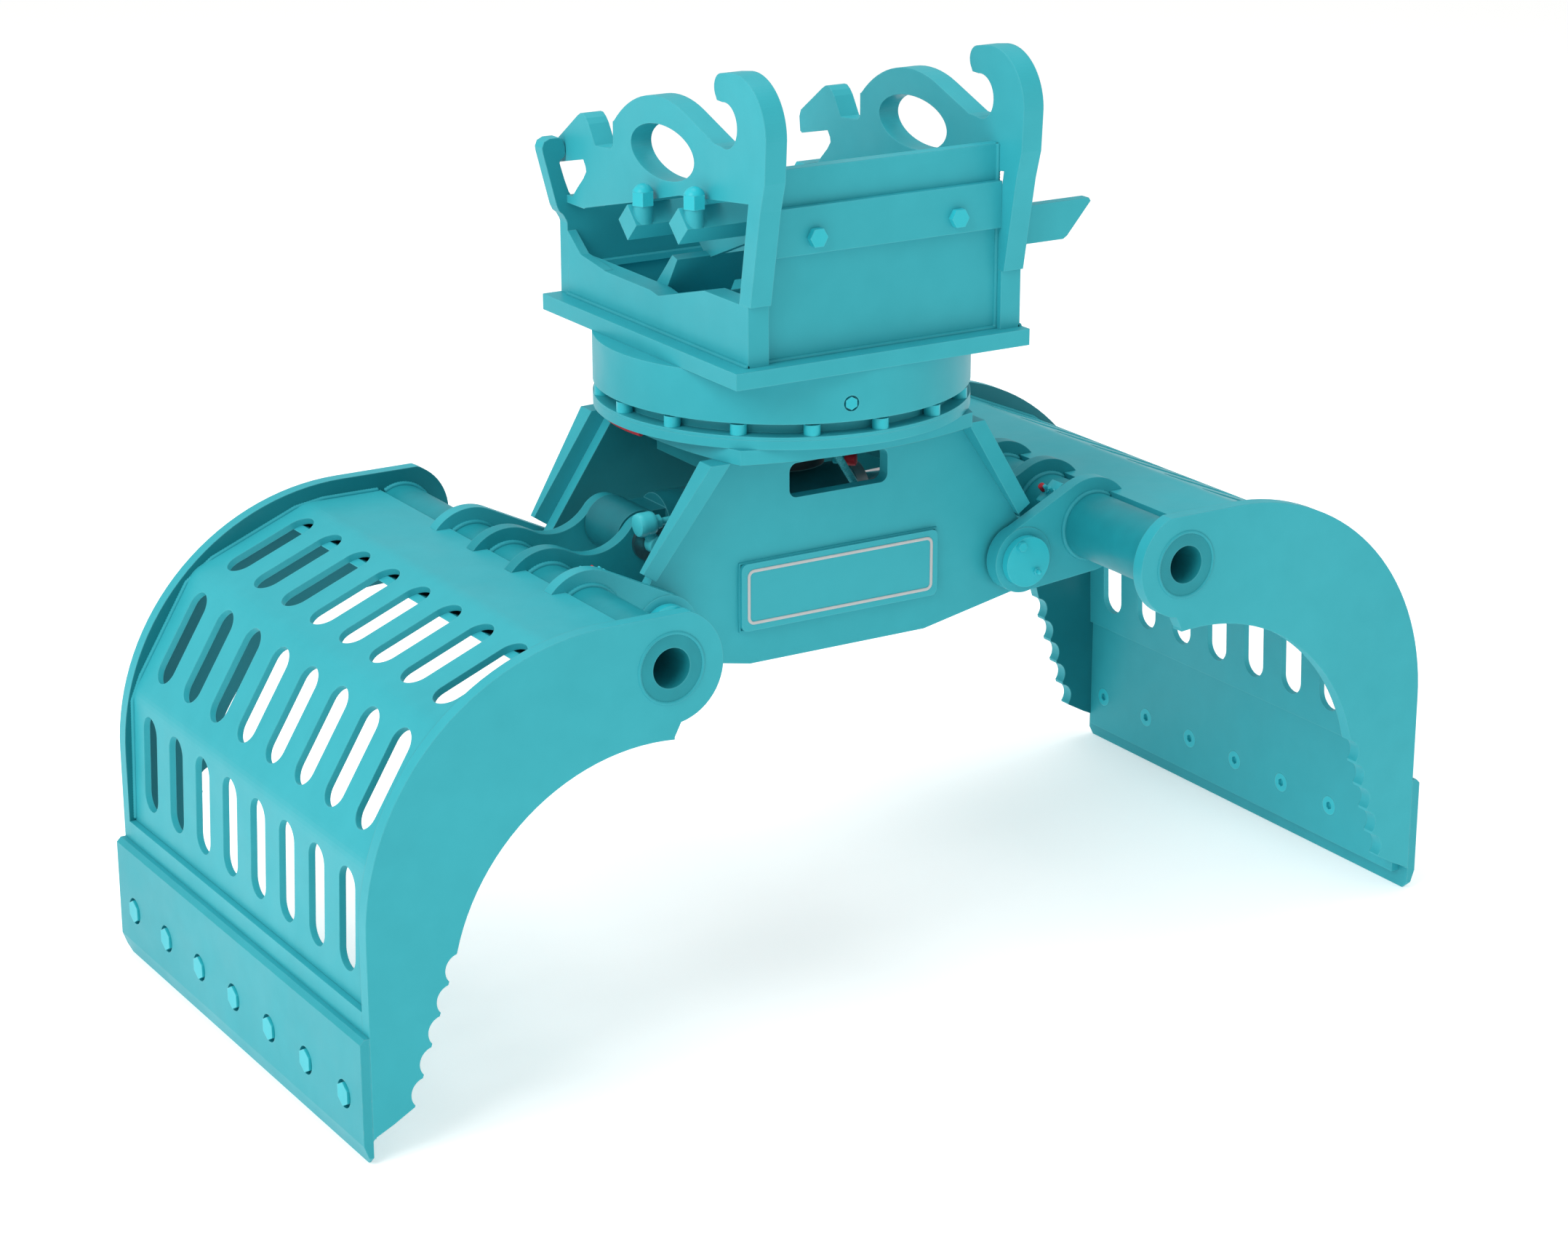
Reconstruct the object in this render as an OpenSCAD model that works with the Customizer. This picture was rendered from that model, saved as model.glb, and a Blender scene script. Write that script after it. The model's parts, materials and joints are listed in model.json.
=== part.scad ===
// Sorting grapple: two perforated shells on a yoke that turns under a quick hitch head.
// X is the way the shells open, Y runs along the knives and Z is up.
// The knife tips stand on z = 0 and the axis of rotation is x = 0, y = 0.

/* [Shells] */
// Width of each shell along its knife
shell_w = 1000; // [900:10:1200]
// Radius of the curved back of a shell
shell_r = 437; // [425:1:450]
// From the torsion tube out to the face that carries the knife
back_reach = 551.5; // [545:0.5:565]
// From the torsion tube down to the knife tips
shell_drop = 731; // [720:1:760]
// Height of the arm's straight top above the torsion tube
arm_top = 89; // [86:1:92]
// Radius of the arm's rounded end
arm_r = 96; // [93:1:110]
// Radius of the mouth cut into the side plates
mouth_r = 370; // [360:1:376]
// Thickness of the side plates
side_t = 25; // [20:1:30]
// Thickness of the folded back plate
back_t = 12; // [8:1:15]
// Outer radius of the folds in the back plate
fold_r = 60; // [40:1:70]
// Number of tooth notches in each side plate
notch_count = 5; // [3:1:5]
// Depth of a tooth notch
notch_depth = 13; // [8:1:16]

/* [Slots] */
// Number of slots along the shell in each row
slot_count = 8; // [5:1:9]
// Width of a slot
slot_w = 59; // [40:1:64]
// Length of a slot
slot_l = 175; // [120:1:185]
// From a fold to the near end of its row of slots
slot_start = 23; // [18:1:35]
// Plain strip beside the outermost slots
slot_edge = 44; // [40:1:60]

/* [Knives] */
// Thickness of a knife
knife_t = 17; // [14:1:22]
// Height of a knife
knife_h = 219; // [200:1:240]
// Thickness of the seat behind a knife
seat_t = 17; // [14:1:20]
// Number of bolts along a knife
knife_bolts_n = 7; // [5:1:7]
// Spacing of the knife bolts
knife_pitch = 144; // [120:1:144]
// Height of the knife bolts above the tips
knife_bolt_z = 101; // [95:1:125]
// Shank radius of the knife bolts
knife_bolt_r = 12; // [10:0.5:12]

/* [Levers and pins] */
// Outer radius of the torsion tube
tube_r = 60; // [55:1:64]
// Bore radius of the torsion tube
tube_bore_r = 34; // [28:1:40]
// Radius of the lever rings round the torsion tube
ring_r = 88; // [82:1:92]
// Thickness of the levers
lever_t = 25; // [20:1:28]
// Middle of the inner levers, from the centre plane
inner_lever_y = 70; // [70:1:75]
// Middle of the outer levers, from the centre plane
outer_lever_y = 210; // [208:1:214]
// Height of the hinge pins below the torsion tube
hinge_drop = 41; // [38:1:44]
// Distance of the hinge pins from the axis of rotation
hinge_x = 367; // [360:1:374]
// From the hinge pin out to the torsion tube
lever_run = 148.5; // [147:0.5:152]
// Radius of the hinge pins
pin_r = 30; // [26:1:32]
// Radius of the discs on the hinge pins
pin_disc_r = 46; // [46:1:50]
// Distance of the cylinder's pins from the axis of rotation
cyl_pin_x = 318; // [314:1:322]
// Height of the cylinder's pins above the torsion tube
cyl_pin_rise = 69; // [66:1:72]
// Radius of the cylinder's pins
cyl_pin_r = 25; // [20:1:27]

/* [Cylinder] */
// Outer radius of the barrel
barrel_r = 55; // [52:1:55]
// Bore radius of the barrel
barrel_bore_r = 45; // [42:1:46]
// Radius of the piston rod
rod_r = 30; // [25:1:32]
// Radius of the eyes at both ends
eye_r = 48; // [44:1:50]

/* [Yoke] */
// Thickness of the yoke's side plates
yoke_t = 25; // [20:1:27]
// Inner face of the yoke's side plates, from the centre plane
yoke_y = 162; // [158:1:163]
// Radius of the side plates round a hinge pin
boss_r = 68; // [62:1:70]
// Half length of the side plates' straight bottom edge
yoke_foot = 180; // [150:1:200]
// Depth of the side plates below the torsion tubes
yoke_drop = 147; // [135:1:155]
// Underside of the top plate above the torsion tubes
top_rise = 230; // [226:1:240]
// Thickness of the top plate
top_t = 26; // [20:1:32]
// Width of the window in the side plates
window_w = 200; // [160:1:260]
// Height of the window
window_h = 61; // [45:1:70]
// Length of the nameplate's bare field
plate_w = 402; // [300:1:420]
// Height of the nameplate's bare field
plate_h = 121; // [100:1:125]

/* [Slewing ring] */
// Outer radius of the ring and of the rotator housing
ring_out_r = 330; // [326:1:335]
// From the ring's edge to the circle of ring bolts
ring_bolt_edge = 15; // [14:1:17]
// Number of ring bolts
ring_bolts_n = 16; // [8:1:24]
// Gear module of the slewing teeth
gear_m = 9; // [8.8:0.1:9.1]
// Teeth on the ring
gear_z = 48; // [48:12:48]
// Teeth on the pinion
pinion_z = 12; // [12:1:12]
// Radius of the bearing balls
ball_r = 8; // [7:0.5:8.5]
// Number of bearing balls
ball_n = 60; // [30:1:90]
// Height of the rotator housing
housing_h = 85.5; // [82:0.5:100]

/* [Head] */
// Half length of the head's base plate
base_x = 292; // [290:1:300]
// Half width of the head's base plate
base_y = 332; // [330:1:340]
// Thickness of the base plate
base_t = 28.5; // [24:0.5:35]
// Thickness of the hook plates and walls
hook_t = 40; // [30:1:45]
// Outer face of the left hook plate
hook_left = -256; // [-262:1:-250]
// Outer face of the right hook plate
hook_right = 286; // [280:1:290]
// Radius of the hook's pocket
pocket_r = 38; // [34:1:39]

/* [Hidden] */
$fn = 64;

teal = "#45aab6";
teal_light = "#50cbd8";
teal_deep = "#1f6670";
steel = "#9aa3a6";
chrome = "#c9cdd0";
dark = "#26343a";

// Clearances
weld_gap = 0.3;
seat_gap = 0.5;
run_gap = 0.05;
play = 0.1;
ball_gap = 0.3;

// Heights above the knife tips
bore_x = hinge_x + lever_run;
bore_z = shell_drop;
hinge_z = bore_z - hinge_drop;
cyl_z = bore_z + cyl_pin_rise;
top_z = bore_z + top_rise;
ring_z = top_z + top_t;
ring_plate_t = 16;
ring_flange_t = 6;
neck_z = ring_z + ring_plate_t + ring_flange_t;
housing_z = neck_z + 22;
roof_z = housing_z + housing_h;
head_z = roof_z + base_t;

// Shell profile, measured from the torsion tube: u outwards and v upwards
back_c = [back_reach - shell_r, arm_top - shell_r];
mouth_c = [35.5, -490];
hinge_uv = [-lever_run, -hinge_drop];
cyl_uv = [cyl_pin_x - bore_x, cyl_pin_rise];
seat_v = 255 - shell_drop;
notch_top = let (v = 330 - shell_drop) [mouth_c[0] + sqrt(pow(mouth_r, 2) - pow(v - mouth_c[1], 2)), v];
notch_end = [back_reach - 74, 82 - shell_drop];
plate_v = arm_top - 32;
plate_edge = sqrt(pow(tube_r + weld_gap, 2) - pow(plate_v - back_t, 2));
plate_folds = [[plate_edge, plate_v], [back_c[0] + 73, plate_v], back_c + (shell_r - 7) * heading(47.2),
    back_c + (shell_r - 6) * heading(14.8), [back_reach - 11.8, seat_v]];
plate_outer = folded(plate_folds, fold_r, 4);
plate_inner = folded(inset(plate_folds, back_t), fold_r - back_t, 4);
slot_pitch = (shell_w - 2 * slot_edge) / slot_count;
inside_w = shell_w - 2 * side_t;
box_plate_t = 12;
box_plate_angle = 24.4;
knife_bolt_room = 25;

// Levers and pins
lever_end_r = 60;
lever_boss_t = lever_t + 4;
lever_eye_r = 45;
web_r = 90;
bush_r = pin_r + 8;
disc_y = outer_lever_y + lever_boss_t / 2 + weld_gap;
disc_t = 15.2;
disc_bolt = [36.5 * cos(118), 36.5 * sin(118)];
disc_nipple = [26 * cos(-48), 26 * sin(-48)];
pin_inner_y = inner_lever_y - lever_t / 2 - 2.5;
eye_half = inner_lever_y - lever_t / 2 - 2;
pin_head_t = 8;

// Cylinder, at its shortest when the shells stand open
barrel_end = 130;
gland_t = 22;
barrel_base = cyl_pin_x - 60;
bore_start = -cyl_pin_x + 78;
piston_t = 35;

// Slewing ring
gear_r = gear_m * gear_z / 2;
pinion_r = gear_m * pinion_z / 2;
pinion_angle = -60;
pinion_at = (gear_r - pinion_r) * heading(pinion_angle);
race_gap = 3;
race_wall = 20;
housing_wall = 14;
race_split = ring_out_r - housing_wall - race_wall - race_gap;
ring_pcd_r = ring_out_r - ring_bolt_edge;
ring_bolt_r = 10;
ring_bore_r = 190;
bolt_head_r = 14.3;
neck_r = ring_pcd_r - bolt_head_r - 0.7;
race_z = housing_z - 1;
race_h = 55;
ball_z = race_z + 27;
motor_shaft_r = 20;
spindle_r = 40;
swivel_r = 75;

// Head, y along the hook plates and v above the base plate
inner_left = hook_left + hook_t;
inner_w = hook_right - hook_left - 2 * hook_t;
middle_x = (hook_left + hook_right) / 2;
panel_y = -295;
panel_t = 23;
panel_h = 318;
rear_y = 302;
rear_t = 27;
rear_bar = 12;
strip_v = 176;
strip_h = 80;
strip_t = 13;
strip_bolt_x = 140;
strip_bolt_r = 8;
coupling_x = -300;
coupling_rest = -150;
coupling_places = [[8, 189], [-162, 214]];
coupling_side = 43;
cap_at = [21, -17, 31];
cap_boss_r = 16;
cap_af = 35;
cap_h = 24;
wall_profile = [[-310, 0], [rear_y, 0], [rear_y, 69], [11, 67], [-16, 62], [-170, 102], [-310, 102]];
wall_rise = [[171, 69], [171, 60], [rear_y, 60], [rear_y, 115], [256, 81]];
wall_rise_t = 17;
hook_front = [[-366, 382], [-362, 313], [-348, 264], [-317, 102], [-282, 102], [-312, 273], [-91, 248],
    [74, 206], [234, 168], [240, 165], [rear_y, 165], [rear_y, 179], [282, 179], [262, 199], [241, 218], [230, 232],
    [232, 241], [240, 252], [327, 233], [333, 236], [336, 262], [331, 275], [298, 298], [258, 326], [247, 332],
    [238, 332], [228, 326], [219, 317], [197, 283], [140, 288], [133, 294], [133, 336]];
arch_c = [-30, 178.5];
arch_r = 225;
arch_end = [-205, 354];
hook_c = [-270, 382];
hook_r = 96;
nose_c = [-231, 448];
nose_r = 25;
pocket_c = [-239.5, 389];
eye_c = [-34.5, 311];
eye_l = 211;
eye_w = 92;

function heading(a) = [cos(a), sin(a)];
function unit(v) = v / norm(v);
function left_of(v) = [-v[1], v[0]];
function arc(c, r, from, to, n) = [for (i = [0:n]) c + r * heading(from + (to - from) * i / n)];

// The two points where a straight line touches two circles on one side of their centre line
function tangent(c1, r1, c2, r2, side) =
    let (d = unit(c2 - c1), s = (r1 - r2) / norm(c2 - c1), n = s * d + side * sqrt(1 - s * s) * left_of(d))
    [c1 + r1 * n, c2 + r2 * n];

// Centre of the hollow curve of radius rf that touches two circles from outside
function hollow_centre(c1, r1, c2, r2, rf) =
    let (d = norm(c2 - c1), a = (pow(r1 + rf, 2) - pow(r2 + rf, 2) + d * d) / (2 * d), e = unit(c2 - c1))
    c1 + a * e + sqrt(pow(r1 + rf, 2) - a * a) * left_of(e);

// A path moved sideways to its right by t, with mitred corners
function inset(pts, t) = [for (i = [0:len(pts) - 1])
    let (n1 = left_of(unit(i == 0 ? pts[1] - pts[0] : pts[i] - pts[i - 1])),
        n2 = left_of(unit(i == len(pts) - 1 ? pts[i] - pts[i - 1] : pts[i + 1] - pts[i])))
    pts[i] - t * (n1 + n2) / (1 + n1 * n2)];

// One fold of a path at q, between p and s, as n straight steps round an arc
function fold(p, q, s, r, n) =
    let (a = unit(p - q), b = unit(s - q), h = acos(a * b) / 2, c = q + unit(a + b) * r / sin(h),
        from = left_of(a) * unit(a + b) > 0 ? left_of(a) : -left_of(a), start = atan2(-from[1], -from[0]),
        turn = -(180 - 2 * h))
    [for (i = [0:n]) c + r * heading(start + turn * i / n)];
function folded(pts, r, n) = concat([pts[0]],
    [for (i = [1:len(pts) - 2]) each fold(pts[i - 1], pts[i], pts[i + 1], r, n)], [pts[len(pts) - 1]]);
function reversed(pts) = [for (i = [len(pts) - 1:-1:0]) pts[i]];

// Involute gear outline, each tooth grow wider than half a pitch
function involute(a) = tan(a) * 180 / PI - a;
function tooth_half(m, z, r, grow) =
    let (rp = m * z / 2, rb = rp * cos(20))
    90 / z + grow / 2 / rp * 180 / PI + involute(20) - involute(acos(min(1, rb / r)));
function gear_points(m, z, root, tip, grow, turn) = [for (i = [0:z - 1])
    let (rb = m * z / 2 * cos(20), low = max(root, rb + 0.05), mid = (low + tip) / 2)
    each [for (f = [[root, low, -1], [low, low, -1], [mid, mid, -1], [tip, tip, -1], [tip, tip, 1],
        [mid, mid, 1], [low, low, 1], [root, low, 1]])
        f[0] * heading(turn + 360 / z * i + f[2] * tooth_half(m, z, f[1], grow))]];

// Extrusions of a drawing in the x-z plane along y, and of one in the y-z plane along x
module along_y(y0, t) translate([0, y0 + t, 0]) rotate([90, 0, 0]) linear_extrude(t) children();
module along_x(x0, t) translate([x0, 0, 0]) rotate([90, 0, 90]) linear_extrude(t) children();
module both_y(y0, t) for (y = [y0, -y0 - t]) along_y(y, t) children();
module left() mirror([1, 0, 0]) children();
module at_bore() translate([bore_x, 0, bore_z]) children();
module rod_y(r, y0, y1) translate([0, y1, 0]) rotate([90, 0, 0]) cylinder(r = r, h = y1 - y0);
module rod_x(r, x0, x1) translate([x0, 0, 0]) rotate([0, 90, 0]) cylinder(r = r, h = x1 - x0);
module hex_z(af, h) cylinder(r = af / sqrt(3), h = h, $fn = 6);

module rounded_field(w, h, r) {
    square([w - 2 * r, h], center = true);
    square([w, h - 2 * r], center = true);
    for (x = [-1, 1], y = [-1, 1])
        translate([x * (w / 2 - r), y * (h / 2 - r)]) circle(r = r);
}

module link_2d(c1, r1, c2, r2) {
    top = tangent(c1, r1, c2, r2, 1);
    low = tangent(c1, r1, c2, r2, -1);
    polygon([top[0], top[1], low[1], low[0]]);
    translate(c1) circle(r = r1);
    translate(c2) circle(r = r2);
}

// Shells

module notches_2d() {
    along = notch_end - notch_top;
    step = norm(along) / notch_count;
    chord = step / 2 - 3;
    r = (pow(chord, 2) + pow(notch_depth, 2)) / (2 * notch_depth);
    for (i = [0:notch_count - 1])
        translate(notch_top + along * (i + 0.5) / notch_count - (r - notch_depth) * left_of(unit(along)))
            circle(r = r);
}

module side_plate_2d() difference() {
    union() {
        intersection() {
            translate(back_c) circle(r = shell_r, $fn = 128);
            translate(back_c) square(shell_r);
        }
        polygon([back_c, [back_reach, back_c[1]], [back_reach, 41 - shell_drop],
            [back_reach - 4, 46 - shell_drop], [back_reach - 36, 61 - shell_drop], notch_end, notch_top]);
        polygon([[back_c[0], arm_top], [0, arm_top], [0, 0], arm_r * heading(-100), [-4.5, -118],
            [-4.5, back_c[1]], back_c]);
        intersection() {
            circle(r = arm_r);
            translate([-arm_r, -arm_r]) square([2 * arm_r, arm_r + arm_top]);
        }
    }
    translate(mouth_c) circle(r = mouth_r, $fn = 128);
    notches_2d();
    circle(r = tube_r + weld_gap);
}

module side_plates() color(teal) at_bore() both_y(shell_w / 2 - side_t, side_t) side_plate_2d();

module slot_cut() {
    cube([slot_l - slot_w, slot_w, 5 * back_t], center = true);
    for (x = [-1, 1])
        translate([x * (slot_l - slot_w) / 2, 0, 0]) cylinder(d = slot_w, h = 5 * back_t, center = true);
}

// Notches that let the lever rings through a plate
module ring_notches() for (y = [-outer_lever_y, -inner_lever_y, inner_lever_y, outer_lever_y])
    rod_y(ring_r + weld_gap, y - lever_t / 2 - weld_gap, y + lever_t / 2 + weld_gap);

module back_plate() color(teal) at_bore() difference() {
    along_y(-inside_w / 2, inside_w) polygon(concat(plate_outer, reversed(plate_inner)));
    for (row = [1:3]) {
        along = unit(plate_folds[row + 1] - plate_folds[row]);
        mid = plate_folds[row] + along * (slot_start + slot_l / 2);
        for (i = [0:slot_count - 1])
            translate([mid[0], (i - (slot_count - 1) / 2) * slot_pitch, mid[1]])
                rotate([0, -atan2(along[1], along[0]), 0]) slot_cut();
    }
    ring_notches();
}

module torsion_tube() color(teal) at_bore() difference() {
    rod_y(tube_r, -shell_w / 2, shell_w / 2);
    rod_y(tube_bore_r, -shell_w / 2 - 1, shell_w / 2 + 1);
}

// Plate that closes the torsion box between the tube and the back plate
module box_plate() color(teal) at_bore() difference() {
    along_y(-inside_w / 2, inside_w) intersection() {
        rotate(box_plate_angle) translate([0, -tube_r - weld_gap - box_plate_t]) square([300, box_plate_t]);
        polygon(concat(plate_inner, [[back_reach, -shell_drop], [0, -shell_drop]]));
    }
    ring_notches();
}

module lever_2d() {
    link_2d([0, 0], ring_r, hinge_uv, lever_end_r);
}

module lever_holes_2d() {
    circle(r = tube_r + weld_gap);
    translate(hinge_uv) circle(r = pin_r + play);
}

module outer_levers() color(teal) at_bore() for (s = [-1, 1]) difference() {
    union() {
        along_y(s * outer_lever_y - lever_t / 2, lever_t) lever_2d();
        along_y(s * outer_lever_y - lever_boss_t / 2, lever_boss_t) translate(hinge_uv) circle(r = lever_end_r);
    }
    along_y(s * outer_lever_y - lever_boss_t, 2 * lever_boss_t) {
        lever_holes_2d();
        translate(hinge_uv + disc_bolt) circle(r = 5 + play);
    }
}

module inner_levers() color(teal) at_bore() both_y(inner_lever_y - lever_t / 2, lever_t) difference() {
    hollow = hollow_centre(cyl_uv, lever_eye_r, [0, 0], ring_r, web_r);
    union() {
        lever_2d();
        link_2d(hinge_uv, lever_end_r, cyl_uv, lever_eye_r);
        difference() {
            polygon([cyl_uv, hollow, [0, 0], hinge_uv]);
            translate(hollow) circle(r = web_r);
        }
    }
    lever_holes_2d();
    translate(cyl_uv) circle(r = cyl_pin_r + play);
}

// Knife bolts, as many as have room between the side plates
module knife_bolt_places() for (i = [0:knife_bolts_n - 1])
    let (y = (i - (knife_bolts_n - 1) / 2) * knife_pitch)
    if (abs(y) + knife_bolt_room <= inside_w / 2) translate([0, y, knife_bolt_z]) children();

module knife_bolt_holes() knife_bolt_places() {
    rod_x(knife_bolt_r + play, bore_x + back_reach - seat_t - 1, bore_x + back_reach + knife_t + 1);
    translate([bore_x + back_reach - seat_t - 1, 0, 0]) rotate([0, 90, 0])
        cylinder(r1 = knife_bolt_r + 8 + play, r2 = knife_bolt_r - 1 + play, h = 9);
    rod_x(24, bore_x + back_reach + knife_t - 9, bore_x + back_reach + knife_t + 1);
}

module blade_seat() color(teal) difference() {
    at_bore() along_y(-inside_w / 2, inside_w) translate([back_reach - seat_t, 31 - shell_drop])
        square([seat_t, seat_v + shell_drop - 31 - seat_gap]);
    knife_bolt_holes();
}

module knife() color(teal_light) difference() {
    at_bore() along_y(-shell_w / 2, shell_w) translate([back_reach, -shell_drop])
        polygon([[0, 0], [4, 0], [knife_t, 36], [knife_t, knife_h - 8], [knife_t - 8, knife_h], [0, knife_h]]);
    knife_bolt_holes();
    for (s = [-1, 1])
        translate([bore_x + back_reach - 1, s * shell_w / 2, 0]) rotate([45, 0, 0])
            translate([0, -9, -9]) cube([knife_t + 2, 18, 18]);
}

module knife_bolts() color(teal_light) knife_bolt_places() translate([bore_x + back_reach, 0, 0])
    rotate([0, 90, 0]) difference() {
        union() {
            translate([0, 0, -seat_t]) cylinder(r = knife_bolt_r, h = seat_t + knife_t);
            translate([0, 0, -seat_t]) cylinder(r1 = knife_bolt_r + 7, r2 = knife_bolt_r - 1, h = 8);
            translate([0, 0, knife_t - 9 + play]) hex_z(36, 12);
        }
        translate([0, 0, -seat_t - 1]) hex_z(14, 7);
    }

module hinge_pins() color(teal_light) translate([hinge_x, 0, hinge_z]) for (s = [-1, 1]) scale([1, s, 1])
    difference() {
        union() {
            rod_y(pin_r, pin_inner_y, disc_y);
            rod_y(pin_disc_r, disc_y, disc_y + disc_t);
        }
        translate([disc_bolt[0], 0, disc_bolt[1]]) rod_y(5 + play, disc_y - 1, disc_y + disc_t + 1);
        translate([disc_nipple[0], 0, disc_nipple[1]]) rod_y(4 + play, disc_y + 4, disc_y + disc_t + 1);
    }

// One lock bolt and one grease nipple on each pin disc
module pin_bolts() color(steel) translate([hinge_x, 0, hinge_z]) for (s = [-1, 1]) scale([1, s, 1]) {
    translate([disc_bolt[0], disc_y + disc_t, disc_bolt[1]]) rotate([-90, 0, 0]) {
        hex_z(16, 8);
        translate([0, 0, -disc_t - 20]) cylinder(r = 5, h = disc_t + 20);
    }
    translate([disc_nipple[0], disc_y + disc_t - 10, disc_nipple[1]]) rotate([-90, 0, 0]) {
        cylinder(r = 4, h = 18);
        translate([0, 0, 10]) hex_z(11, 3);
        translate([0, 0, 19]) sphere(r = 4.5, $fn = 24);
    }
}

module cylinder_pin() color(steel) translate([cyl_pin_x, 0, cyl_z]) {
    reach = inner_lever_y + lever_t / 2 + weld_gap;
    rod_y(cyl_pin_r, -reach, reach);
    for (y = [-reach - pin_head_t, reach])
        rod_y(cyl_pin_r + 8, y, y + pin_head_t);
}

// Cylinder

module eye(x) translate([x, 0, 0]) rod_y(eye_r, -eye_half, eye_half);
module eye_hole(x) translate([x, 0, 0]) rod_y(cyl_pin_r + run_gap, -eye_half - 1, eye_half + 1);

module cylinder_barrel() color(teal_deep) translate([0, 0, cyl_z]) difference() {
    union() {
        eye(-cyl_pin_x);
        translate([-cyl_pin_x, -eye_r * 0.8, -eye_r * 0.8]) cube([62, eye_r * 1.6, eye_r * 1.6]);
        rod_x(barrel_r, -barrel_base, barrel_end);
    }
    eye_hole(-cyl_pin_x);
    rod_x(barrel_bore_r, bore_start, barrel_end + 1);
}

module cylinder_gland() color(steel) translate([0, 0, cyl_z]) difference() {
    union() {
        rod_x(barrel_bore_r - play, barrel_end - 20, barrel_end);
        rod_x(barrel_r, barrel_end, barrel_end + gland_t);
    }
    rod_x(rod_r + run_gap, barrel_end - 21, barrel_end + gland_t + 1);
}

// Oil pipe along the underside of the barrel, between two port blocks
module cylinder_pipe() color(steel) translate([0, 0, cyl_z - barrel_r]) {
    for (x = [-barrel_base + 12, barrel_end - 46])
        translate([x, -14, -24]) cube([34, 28, 24]);
    translate([0, 0, -13]) rod_x(6, -barrel_base + 46, barrel_end - 46);
}

module cylinder_piston() color(steel) translate([0, 0, cyl_z]) difference() {
    rod_x(barrel_bore_r - run_gap, bore_start + 8, bore_start + 8 + piston_t);
    rod_x(rod_r * 0.7 + play, bore_start, bore_start + 9 + piston_t);
}

module cylinder_rod() color(chrome) translate([0, 0, cyl_z]) difference() {
    union() {
        rod_x(rod_r * 0.7, bore_start + 8, bore_start + 8 + piston_t + play);
        rod_x(rod_r, bore_start + 8 + piston_t + play, barrel_base + 2);
        translate([barrel_base - 2, -eye_r * 0.8, -eye_r * 0.8]) cube([62, eye_r * 1.6, eye_r * 1.6]);
        eye(cyl_pin_x);
    }
    eye_hole(cyl_pin_x);
}

// Yoke

column_top = [241, top_z];
column_foot = [hinge_x + 4, hinge_z + 78];
column_w = 30;
top_half_x = 275;
top_half_y = 288;
top_bulge_x = 780;
top_bulge_y = 720;

module yoke_side_2d() {
    hinge = [hinge_x, hinge_z];
    foot = [yoke_foot, bore_z - yoke_drop];
    rise = unit(column_top - column_foot);
    shoulder = column_foot + rise * ((hinge - column_foot) * rise);
    difference() {
        for (s = [-1, 1]) scale([s, 1]) difference() {
            union() {
                polygon([[-1, foot[1]], foot, tangent(foot, 0, hinge, boss_r, -1)[1], hinge, shoulder,
                    column_top, [-1, top_z]]);
                translate(hinge) circle(r = boss_r);
            }
            translate(hinge) circle(r = bush_r + play);
        }
        translate([0, top_z - 32 - window_h / 2]) rounded_field(window_w, window_h, 15);
    }
}

module yoke_side_front() color(teal) along_y(-yoke_y - yoke_t, yoke_t) yoke_side_2d();
module yoke_side_rear() color(teal) along_y(yoke_y, yoke_t) yoke_side_2d();

module yoke_top_plate() color(teal) translate([0, 0, top_z]) difference() {
    linear_extrude(top_t) intersection() {
        translate([0, top_bulge_y - top_half_y]) circle(r = top_bulge_y, $fn = 128);
        translate([0, top_half_y - top_bulge_y]) circle(r = top_bulge_y, $fn = 128);
        translate([top_bulge_x - top_half_x, 0]) circle(r = top_bulge_x, $fn = 128);
        translate([top_half_x - top_bulge_x, 0]) circle(r = top_bulge_x, $fn = 128);
    }
    translate([0, 0, -1]) cylinder(r = spindle_r + 20, h = top_t + 2);
}

// Wedge columns on the outer faces of the side plates, under the corners of the top plate
module yoke_columns() color(teal) for (sx = [-1, 1], sy = [-1, 1]) scale([sx, sy, 1]) {
    run = column_foot - column_top;
    slope = atan2(run[1], run[0]);
    face = yoke_y + yoke_t;
    difference() {
        translate([column_top[0], face, column_top[1]]) rotate([0, -slope, 0])
            linear_extrude(column_w)
                polygon([[-40, 0], [norm(run), 0], [norm(run), 13], [0, 41], [-40, 48]]);
        translate([0, 0, top_z]) cube([600, 600, 100]);
    }
}

module yoke_webs() color(teal) for (x = [-150, 150])
    translate([x - 10, -yoke_y, top_z - 80]) cube([20, 2 * yoke_y, 80]);

module yoke_bushes() color(steel) for (x = [-hinge_x, hinge_x], s = [-1, 1])
    translate([x, 0, hinge_z]) scale([1, s, 1]) difference() {
        rod_y(bush_r, yoke_y - 2, outer_lever_y - lever_boss_t / 2 - weld_gap);
        rod_y(pin_r + run_gap, yoke_y - 3, outer_lever_y);
    }

module nameplate() color(teal) translate([0, 0, bore_z - 24]) along_y(-yoke_y - yoke_t - 9.7, 9.7)
    rounded_field(plate_w, plate_h, 12);

module swivel_housing() color(dark) difference() {
    union() {
        translate([0, 0, top_z - 86]) cylinder(r = swivel_r, h = 86);
        translate([0, 0, top_z - 14]) cylinder(r = swivel_r + 20, h = 14);
        for (a = [45:90:315]) rotate(a) translate([swivel_r - 6, -16, top_z - 62]) cube([22, 32, 32]);
    }
    translate([0, 0, top_z - 70]) cylinder(r = spindle_r + run_gap, h = 80);
}

// Slewing ring

module ring_bolt_places() for (i = [0:ring_bolts_n - 1])
    rotate(360 * i / ring_bolts_n) translate([ring_pcd_r, 0, 0]) children();

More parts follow.
